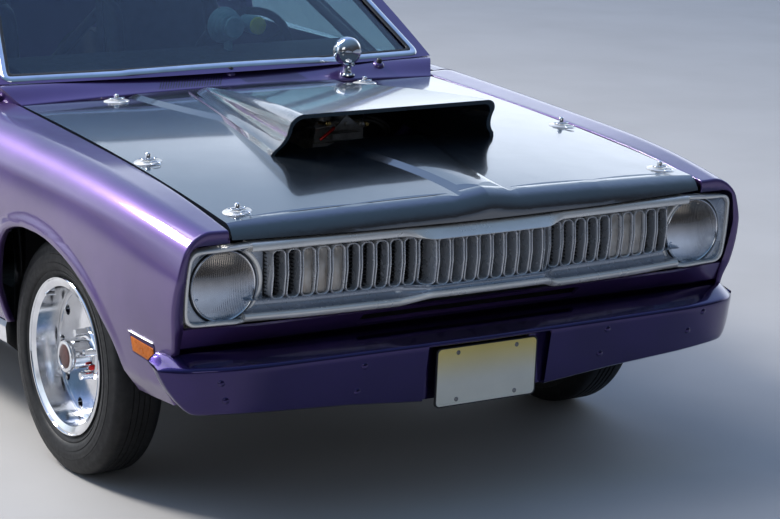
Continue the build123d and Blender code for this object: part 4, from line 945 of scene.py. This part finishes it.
# Hood pins with their plates, clips and rings
hood_tree = tree_of("hood")
plates = Mesh()
clips = Mesh()
tips = Mesh()
TURNS = [2 * math.pi * k / 28 for k in range(28)]
for px, py, top in ((650, -593, 846), (656, -134, 890), (413, 530, 922)):
    for side in SIDES:
        hit, normal = on_top(hood_tree, side * (px + 22), py)
        centre = Vector((side * px * MM, hit.y, hit.z + normal.x / normal.z * side * 22 * MM))
        u = Vector((1, 0, 0)) - normal * normal.x
        u.normalize()
        w = normal.cross(u)
        plates.rings([[centre + u * (38 * MM * size * math.cos(t)) + w * (30 * MM * size * math.sin(t))
                       + normal * (lift * MM) for t in TURNS]
                      for size, lift in ((1.0, -1.5), (1.0, 0.8), (0.95, 2.0), (0.6, 2.6), (0.55, 4.2), (0.34, 4.6),
                                         (0.24, 4.0), (0.22, -1.0))])
        seat = centre + normal * (8 * MM)
        clips.tube([seat + Vector((math.cos(t) * 19, math.sin(t) * 9 - 4, 0)) * MM for t in TURNS], 1.7, 8,
                   closed=True)
        clips.tube([seat + Vector((s, 3, 0.5)) * MM for s in (-24, -8, 8, 26)], 1.7, 8)
        hang = centre + Vector((3 * MM, -37 * MM, 0)) + normal * (2.5 * MM)
        clips.tube([hang + Vector((math.cos(t) * 13, math.sin(t) * 13, math.sin(t) * 2)) * MM for t in TURNS],
                   1.2, 8, closed=True)
        tips.lathe([(-16, 6.8), (-2, 6.8), (0, 5.6), (1.5, 3.5), (2, 0.5)], P(side * px, py, top), UP, 20)
# The pin plates take the lit bright finish, whose warm tone is painted sunlight.
add("pin_plates", plates, SUNLIT_BRIGHT, 40, "hood")
add("pin_clips", clips, CHROME, 60, "hood")
add("pin_tips", tips, CHROME, 50)

# Windshield and window mouldings


def slope_point(base, head, bow, x, share, out, front):
    """A point on a bowed, sloping window; out is the distance off its surface in millimetres."""
    by, bz = base
    hy, hz = head
    length = math.hypot(hy - by, hz - bz)
    ay, az = (hy - by) / length, (hz - bz) / length
    ny, nz = (az * front, -ay * front)
    drop = x * x / (2 * bow) - out
    return P(x, by + ay * length * share + ny * drop, bz + az * length * share + nz * drop)


def corner_path(points, radius, steps=5):
    """Round the corners of a closed outline of (x, share) points."""
    path = []
    n = len(points)
    for i in range(n):
        p = Vector(points[i])
        a = Vector(points[i - 1]) - p
        b = Vector(points[(i + 1) % n]) - p
        for k in range(steps + 1):
            t = k / steps
            path.append(p + a * min(0.45, radius / max(abs(a.x) + abs(a.y) * 500, 1)) * (1 - t) ** 2
                        + b * min(0.45, radius / max(abs(b.x) + abs(b.y) * 500, 1)) * t ** 2)
    return path


def divided(path, step):
    out = []
    for a, b in zip(path, path[1:] + path[:1]):
        parts = max(1, int((b - a).length / (step * MM)))
        out.extend(a.lerp(b, k / parts) for k in range(parts))
    return out


def seated(path, normal):
    """Lift or lower a closed path onto the roof's border, evenly from point to point."""
    lifts = []
    for p in path:
        hit, _, _, distance = roof_tree.ray_cast(p + normal * 0.03, -normal, 0.05)
        lifts.append(0.03 - distance if hit else None)
    known = [lift for lift in lifts if lift is not None]
    lifts = [sum(known) / len(known) if lift is None else lift for lift in lifts]
    n = len(lifts)
    middle = [sorted(lifts[(i + k) % n] for k in range(-3, 4))[3] for i in range(n)]
    return [p + normal * sum(middle[(i + k) % n] for k in range(-2, 3)) * 0.2 for i, p in enumerate(path)]


roof_tree = tree_of("roof_panel")
WINDSHIELD = ((625, 955), (1122, 1300), 9000)
BACKLIGHT = ((2915, 958), (2150, 1302), 6000)
SHIELD_HALF = [(340, 0.045), (682, 0.088), (562, 0.90), (520, 0.955)]
BACK_HALF = [(300, 0.065), (600, 0.16), (540, 0.90), (500, 0.95)]
for name, (base, head, bow), half, front in (("windshield", WINDSHIELD, SHIELD_HALF, 1),
                                             ("backlight", BACKLIGHT, BACK_HALF, -1)):
    outline = half + [(-x, s) for x, s in reversed(half)]
    points = corner_path(outline, 26)
    normal = Vector((0, -(head[1] - base[1]) * front, (head[0] - base[0]) * front)).normalized()
    for label, wide, grow, out, radius, finish, slot in (
            ("moulding", 1.010, 0.014, -1, 12, CHROME, "chrome"),
            ("gasket", 0.992, -0.004, 0, 8, BLACK_PLASTIC, "dash")):
        path = [slope_point(base, head, bow, q.x * wide, q.y + (grow if q.y > 0.5 else -grow), out, front)
                for q in points]
        path = divided(path, 60)
        if label == "moulding":
            path = seated(path, normal)
        ring = Mesh()
        ring.tube(path, radius, 10, closed=True, flat=0.36, up=normal)
        add(f"{name}_{label}", ring, finish, 60)

# Cowl: skin, vent slots, wiper pivots and the gauge cup
cowl_front = spline((-684, -340, 0, 340, 684), (901, 911, 915, 911, 901))
COWL_TOP, COWL_START, COWL_STOP = 946, 577, 644


def cowl_z(x, y):
    """Height of the cowl, which rises from the hood's edge to the windshield."""
    low = cowl_front(max(-684, min(684, x)))
    share = min(1.0, max(0.0, (y - COWL_START) / (COWL_STOP - COWL_START)))
    return low + (COWL_TOP - low) * (0.6 * share + 0.4 * smooth(share))


COWL_HALF, COWL_FLARE, COWL_BEND = 684, 582, 636
cowl, vent, pivots, bases, gauge = (Mesh() for _ in range(5))
cowl_lines = []
cowl_rows = [(COWL_START, COWL_HALF, -14), (COWL_START, COWL_HALF, -2), (COWL_START + 1.5, COWL_HALF, -0.4)]
cowl_rows += [(y, COWL_HALF + 0.62 * (y - COWL_FLARE), 0) for y in spaced(COWL_FLARE, COWL_BEND, 12)]
cowl_rows += [(y, 718 + 14 * smooth((y - COWL_BEND) / 30), 0) for y in (641, 648, 656, 670, 690, 712, 734)]
foot = Vector((0, 0, -44 * MM))
for y, half, dz in cowl_rows:
    row = [P(half * u, y, cowl_z(half * u, y) + dz) for u in spaced(-1, 1, 90)]
    cowl_lines.append([row[0] + foot] + row + [row[-1] + foot])
cowl.rings(cowl_lines, closed=False)
add("cowl_skin", cowl, PAINT, 40, wall=SHEET, replace=("cowl_panel",))
# The vent's slots are thin black strips on the cowl's surface: painted shade in place of open slots.
for side in SIDES:
    for k in range(24):
        x0 = side * (246 - k * 8.6)
        a, b = (x0, 587 + 1.2 * (k < 2)), (x0 - side * 26, 624)
        lines = []
        for share in spaced(0, 1, 6):
            x, y = a[0] + (b[0] - a[0]) * share, a[1] + (b[1] - a[1]) * share
            lines.append([P(x + dx, y, cowl_z(x, y) + dz)
                          for dx, dz in ((-1.5, 0.25), (1.5, 0.25), (1.5, -1), (-1.5, -1))])
        vent.rings(lines, caps=True)
add("cowl_vent_painted_shade", vent, BLACK_PLASTIC)
for x, y in ((10, 636), (524, 630)):
    foot = P(x, y, cowl_z(x, y))
    bases.lathe([(-3, 19), (3, 17), (6, 13), (7, 9)], foot, (0, -0.35, 1), 28)
    pivots.lathe([(4, 9), (16, 8), (18, 6), (19, 0.5)], foot, (0, -0.35, 1), 20)
add("wiper_bases", bases, PAINT, 50)
add("wiper_pivots", pivots, BLACK_PLASTIC, 50)
cup = [(0, 0.5), (0, 34), (1, 38), (3, 41.5), (6, 43), (12, 43), (13, 41.6), (15, 41.6), (16, 43), (27, 42.5),
       (34, 38.5), (40, 31), (44, 19), (46, 0.5)]
gauge.lathe(cup, P(396, 622, 990), AHEAD, 56)
gauge.lathe([(-8, 24), (-4, 23), (-2, 14), (12, 12), (20, 13), (27, 19)], P(396, 604, 926), UP, 32)
gauge.lathe([(0, 6), (5, 6), (6, 4), (7, 0.5)], P(404, 588, 952), AHEAD, 16)
add("gauge_cup", gauge, CHROME, 50, replace=("cowl_gauge",))
screws = Mesh()
screws.lathe([(0, 5), (4, 5), (5, 3), (5.5, 0.5)], P(398, 592, 966), AHEAD, 14)
add("gauge_screw", screws, BRASS, 50)

# Tyres and the small parts of the wheels


def tyre_profile(half, radius, bead_half, grooves):
    """A tyre's section as (along, radius) points, with rings on its walls and grooves in its tread."""
    rim = 208
    bulge_r = rim + 0.42 * (radius - rim)
    wall_r = radius - 30
    points = [(bead_half - 2, rim - 6), (bead_half, rim + 2)]
    for s in spaced(0, 1, 10)[1:]:
        r = rim + 2 + (wall_r - rim - 2) * s
        out = bead_half + (half - bead_half) * math.sin(min(1, (r - rim) / (bulge_r - rim)) * math.pi / 2)
        if r > bulge_r:
            out = half - 7 * ((r - bulge_r) / (wall_r - bulge_r)) ** 2
        points.append((out, r))
        if s in (0.2, 0.5, 0.8):
            points.extend([(out + 0.2, r + 1), (out - 1.4, r + 2), (out - 1.2, r + 4)])
    for k in range(1, 7):
        t = math.pi / 2 * k / 6
        points.append((half - 7 - 30 * (1 - math.cos(t)), wall_r + 30 * math.sin(t)))
    for g in grooves:
        points.extend([(g + 2.6, radius), (g + 2, radius - 3), (g - 2, radius - 3), (g - 2.6, radius)])
    return points + [(-a, r) for a, r in reversed(points)]


for place, x, y, radius, half, bead, grooves, face, cap, lip in (
        ("front", 760, 0, 315, 77, 60, (24, 8), -2, 66, 68),
        ("rear", 742, WHEELBASE, 345, 136, 122, (84, 56, 28), 40, 100, 130)):
    for side, label in LABELS:
        axis, hub = (side, 0, 0), W(side * x, y, radius)
        body = f"wheel_{place}_{label}"
        tyre, ring, ends, nuts, mark = (Mesh() for _ in range(5))
        tyre.lathe(tyre_profile(half, radius, bead, grooves), hub, axis, 96)
        add(f"tyre_skin_{place}_{label}", tyre, TYRE, 38, body, replace=(f"tyre_{place}_{label}",))
        for edge, profile, steps in (
                (lip, ((-9, 208), (-4, 210.5), (1, 211), (3, 209), (2.6, 206.5), (-1, 204)), 96),
                (cap, ((-14, 42.6), (-4, 42.6), (1, 40.5), (2.4, 37), (1.8, 33.5), (-1, 32)), 48),
                (face, ((0.5, 66), (5, 63), (9, 56), (10, 44)), 64),
                (face, ((-4, 176), (1.2, 173), (1.2, 169), (-4, 167)), 96)):
            ring.lathe([(edge + a, r) for a, r in profile], hub, axis, steps)
        stem = W(side * (x + lip - 26), y + 182 * math.cos(0.9), radius + 182 * math.sin(0.9))
        ring.lathe([(0, 4.5), (16, 4.5), (17, 5.5), (26, 5.5), (27, 3), (27.5, 0.5)], stem, axis, 14)
        add(f"rim_bright_{place}_{label}", ring, CHROME, 40, body)
        ends.lathe([(cap - 0.5, 32.5), (cap + 0.6, 31), (cap + 1.4, 20), (cap + 1.8, 0.5)], hub, axis, 40)
        add(f"cap_end_{place}_{label}", ends, DARK_RED, 40, body)
        for k in range(5):
            a = 2 * math.pi * (k + 0.25) / 5
            spot = W(side * x, y + 60 * math.cos(a), radius + 60 * math.sin(a))
            nuts.lathe([(face - 1, 14), (face + 4, 14), (face + 7, 11.5)], spot, axis, 6)
            nuts.lathe([(face + out, r) for out, r in ((38, 10.4), (40.5, 9.6), (40.6, 7), (38.5, 6), (38.5, 0.5))],
                       spot, axis, 20)
        add(f"wheel_nuts_{place}_{label}", nuts, CHROME, 40, body)
        mark.lathe([(face + 8, 7), (face + 18, 7), (face + 20, 5), (face + 20.5, 0.5)],
                   W(side * x, y - 46, radius - 26), axis, 16)
        add(f"wheel_mark_{place}_{label}", mark, RED_ROD, 40, body)

# Carburettor linkage, fittings and hoses seen in the scoop's mouth
links, brass, rod, hoses = (Mesh() for _ in range(4))
links.rings([[P(x, -50 + d, z) for x, z in ((-50, 892), (43, 889), (-9, 930))] for d in (-2, 2)], caps=True)
links.block(-52, 38, -52, -20, 864, 880)
links.tube([P(-100, -30, 893), P(-50, -40, 900), P(20, -40, 903), P(80, -30, 899)], 3, 8)
links.lathe([(0, 9), (4, 9), (5, 7), (10, 7), (11, 0.5)], P(46, -40, 898), AHEAD, 12)
links.lathe([(0, 7), (6, 7), (7, 0.5)], P(-8, -52, 906), AHEAD, 12)
links.tube([P(-8, -48, 906), P(-8, -10, 900), P(-8, 40, 886)], 5, 10)
for x in (-40, 26):
    links.tube([P(x, -36, 872), P(x, 40, 872)], 6, 10)
add("carb_linkage", links, CARB, 40)
for x, z in ((-63, 908), (58, 898)):
    brass.lathe([(0, 8), (6, 8), (7, 5.5), (13, 5.5), (14, 0.5)], P(x, -40, z), (0, -1, 0.2), 6)
    brass.tube([P(x, -38, z), P(x, 0, z - 4), P(x, 50, z - 16)], 5, 10)
add("brass_fittings", brass, BRASS, 30)
rod.tube([P(-88, -46, 866), P(-82, -48, 871), P(-54, -52, 892), P(-48, -50, 897), P(-44, -44, 894)], 4.4, 10)
add("red_link", rod, RED_ROD, 50)
for points in (((-150, 60, 872), (-130, -20, 896), (-108, -40, 900), (-100, -20, 870)),
               ((60, -30, 908), (84, -48, 905), (112, -50, 886), (136, -20, 862)),
               ((78, -20, 914), (100, -38, 908), (128, -40, 889), (154, -10, 864))):
    curves = [spline((0, 1, 2, 3), [p[i] for p in points]) for i in range(3)]
    hoses.tube([P(*(c(s) for c in curves)) for s in spaced(0, 3, 18)], 6, 10)
add("carb_hoses", hoses, RUBBER, 60)

# Seats: padded cushions with sewn channels in a hard shell
SEAT_X = 375


def pad(mesh, base, along, rise, width, length, thick, channels):
    """A crowned cushion with rounded sides that draws in at its ends; its channels run along it."""
    along, rise = Vector(along).normalized(), Vector(rise).normalized()
    across = along.cross(rise)
    rings = []
    for s in spaced(0, 1, 26):
        end = (1 - abs(2 * s - 1) ** 7) ** 0.45 if 0 < s < 1 else 0.12
        half = width / 2 * (0.90 + 0.10 * end) * (0.97 + 0.03 * math.cos(2 * math.pi * (s - 0.5)))
        ring = []
        for k in range(40):
            t = 2 * math.pi * k / 40
            u = math.copysign(abs(math.cos(t)) ** 0.5, math.cos(t))
            v = math.copysign(abs(math.sin(t)) ** 0.6, math.sin(t))
            groove = sum(math.exp(-((u - c) / 0.045) ** 2) for c in channels) if v > 0.3 else 0
            seam = math.exp(-((s - 0.5) / 0.012) ** 2) if v > 0.3 else 0
            crown = thick * (0.72 + 0.28 * (1 - u * u)) * end
            height = v * crown * 0.5 + crown * 0.5 - 7 * (groove + 0.6 * seam) * end
            ring.append(base + along * (s * length * MM) + across * (u * half * MM) + rise * (height * MM))
        rings.append(ring)
    mesh.rings(rings, caps=True)


CHANNELS = (-0.6, -0.2, 0.2, 0.6)
SHELL_OUTLINE = [(1292, 302), (1292, 372), (1700, 340), (1734, 420), (1812, 1040), (1868, 1052), (1802, 332),
                 (1762, 302)]
for side, label in LABELS:
    x = side * SEAT_X
    base, back, bolsters, shell = (Mesh() for _ in range(4))
    pad(base, P(x, 1295, 372), (0, 1, -0.09), (0, 0.09, 1), 330, 430, 70, CHANNELS)
    cushion = add(f"seat_cushion_{label}", base, LEATHER, 70, replace=("seats",) if side == 1 else ())
    pad(back, P(x, 1712, 440), (0, 0.145, 1), (0, -1, 0.145), 330, 600, 66, CHANNELS)
    rest = add(f"seat_back_{label}", back, LEATHER, 70)
    for way in (-1, 1):
        pad(bolsters, P(x + way * 184, 1300, 380), (0, 1, -0.02), (0, 0.02, 1), 44, 380, 92, ())
        pad(bolsters, P(x + way * 184, 1740, 470), (0, 0.13, 1), (0, -1, 0.13), 44, 540, 104, ())
    rolls = add(f"seat_bolsters_{label}", bolsters, LEATHER, 70)
    shell.rings([[P(x + dx, y, z) for y, z in SHELL_OUTLINE] for dx in (-203, -196, 196, 203)], caps=True)
    shell.block(x - 165, x + 165, 1340, 1720, 262, 302)
    add(f"seat_shell_{label}", shell, BLACK_PLASTIC, 30, bevel=5)

# Round instruments on the dashboard
pod, sleeve, cap = Mesh(), Mesh(), Mesh()
rings = [(0, 0.5), (0, 30), (3, 34), (8, 34), (9, 30), (16, 30)]
for k in range(5):
    a = 16 + 12 * k
    rings.extend([(a, 38 + 4 * k), (a + 3, 41 + 4 * k), (a + 8, 41 + 4 * k), (a + 10, 37 + 4 * k)])
rings.extend([(80, 46), (84, 30), (85, 0.5)])
pod.lathe([(a, min(r, 56)) for a, r in rings], P(150, 860, 1036), ALONG, 48)
pod.block(144, 156, 884, 916, 962, 1000)
add("ringed_pod", pod, BLUE_GREY, 35, replace=("tachometer",))
sleeve.lathe([(10, 25), (12, 29), (50, 29), (86, 26), (90, 0.5)], P(240, 870, 1036), ALONG, 40)
sleeve.block(188, 216, 898, 908, 1030, 1042)
add("pod_sleeve", sleeve, BLUE_GREY, 35)
cap.lathe([(0, 0.5), (0, 20), (2, 25), (4, 27), (14, 27), (14, 20)], P(240, 870, 1036), ALONG, 40)
add("pod_cap", cap, YELLOW, 35)

# Door handles with their locks, and frames round the tail lamps
for side, label in LABELS:
    handle = Mesh()
    rings = []
    for s in spaced(0, 1, 14):
        out = 5.2 * math.sin(math.pi * s) ** 0.35 if 0 < s < 1 else 0.3
        rings.append([P(side * (897 + out + 4 * math.cos(t)), 1650 + 130 * s, 792 + 9 * math.sin(t))
                      for t in TURNS[::2]])
    handle.rings(rings, caps=True)
    handle.lathe([(0, 14), (4, 13), (6, 9), (6.5, 0.5)], P(side * 897, 1806, 790), (side, 0, 0), 24)
    add(f"door_handle_{label}", handle, CHROME, 50, f"door_{label}")
frames = Mesh()
for side in SIDES:
    for z in (640, 700):
        x = side * 575
        frames.rings([[P(px, y, pz) for px, pz in rounded(x - 188 + d, x + 188 - d, z - 3 + d, z + 45 - d, 6, 3)]
                      for d, y in ((0, 3946), (0, 3958), (2, 3960), (5, 3959), (6, 3955))])
add("tail_lamp_frames", frames, CHROME, 40)

# Sky, floor and lamps
world = bpy.data.worlds.new("studio")
bpy.context.scene.world = world
world.use_nodes = True
tree = world.node_tree
background = tree.nodes["Background"]
place = new_height(tree, tree.nodes.new("ShaderNodeTexCoord").outputs["Generated"])
behind = new_ramp(tree, place["Z"], (
    (0.0, (0.46, 0.47, 0.48)), (0.06, (0.80, 0.92, 1.05)), (0.16, (1.55, 1.70, 1.95)), (0.30, (1.25, 1.42, 1.70)),
    (0.42, (0.55, 0.72, 0.98)), (0.62, (0.38, 0.56, 0.92)), (0.95, (0.30, 0.46, 0.95))))
ahead = new_ramp(tree, place["Z"], (
    (0.0, (0.05, 0.05, 0.055)), (0.12, (0.05, 0.055, 0.07)), (0.45, (0.11, 0.17, 0.26)), (0.95, (0.15, 0.26, 0.42))))
blend = tree.nodes.new("ShaderNodeMix")
blend.data_type = "RGBA"
tree.links.new(new_range(tree, place["Y"], -0.30, 0.30).outputs[0], blend.inputs[0])
tree.links.new(ahead, blend.inputs[6])
tree.links.new(behind, blend.inputs[7])
tree.links.new(blend.outputs[2], background.inputs["Color"])
socket(background, "Strength", 1.0)

floor_data = bpy.data.meshes.new("floor")
floor_data.from_pydata([(-40, -40, 0), (40, -40, 0), (-40, 40, 0), (40, 40, 0)], [], [(0, 1, 3, 2)])
floor = bpy.data.objects.new("floor", floor_data)
bpy.context.scene.collection.objects.link(floor)
floor_data.materials.append(
    material("floor", (0.42, 0.405, 0.39), (0.45, 0.435, 0.42), 0.0, (0.75, 0.85), 1.5, 0.1, 60))


def area_light(name, place, target, size, power, tint=(1, 1, 1)):
    light = bpy.data.lights.new(name, "AREA")
    light.shape = "RECTANGLE"
    light.size, light.size_y = size
    light.energy = power
    light.color = tint
    obj = bpy.data.objects.new(name, light)
    bpy.context.scene.collection.objects.link(obj)
    obj.location = place
    obj.rotation_mode = "QUATERNION"
    obj.rotation_quaternion = (Vector(target) - Vector(place)).to_track_quat("-Z", "Y")


area_light("key", (-4.8, 4.8, 7.2), (-0.3, -0.5, 0.6), (2.2, 2.2), 1300, (1.0, 0.97, 0.92))
area_light("overhead", (-2.0, 1.0, 7.5), (0, -0.5, 0), (4.0, 4.0), 200)
area_light("front_fill", (-3.0, -9.0, 3.2), (0, -2, 0.5), (4.0, 2.0), 30)

bpy.context.scene.view_settings.view_transform = "Standard"
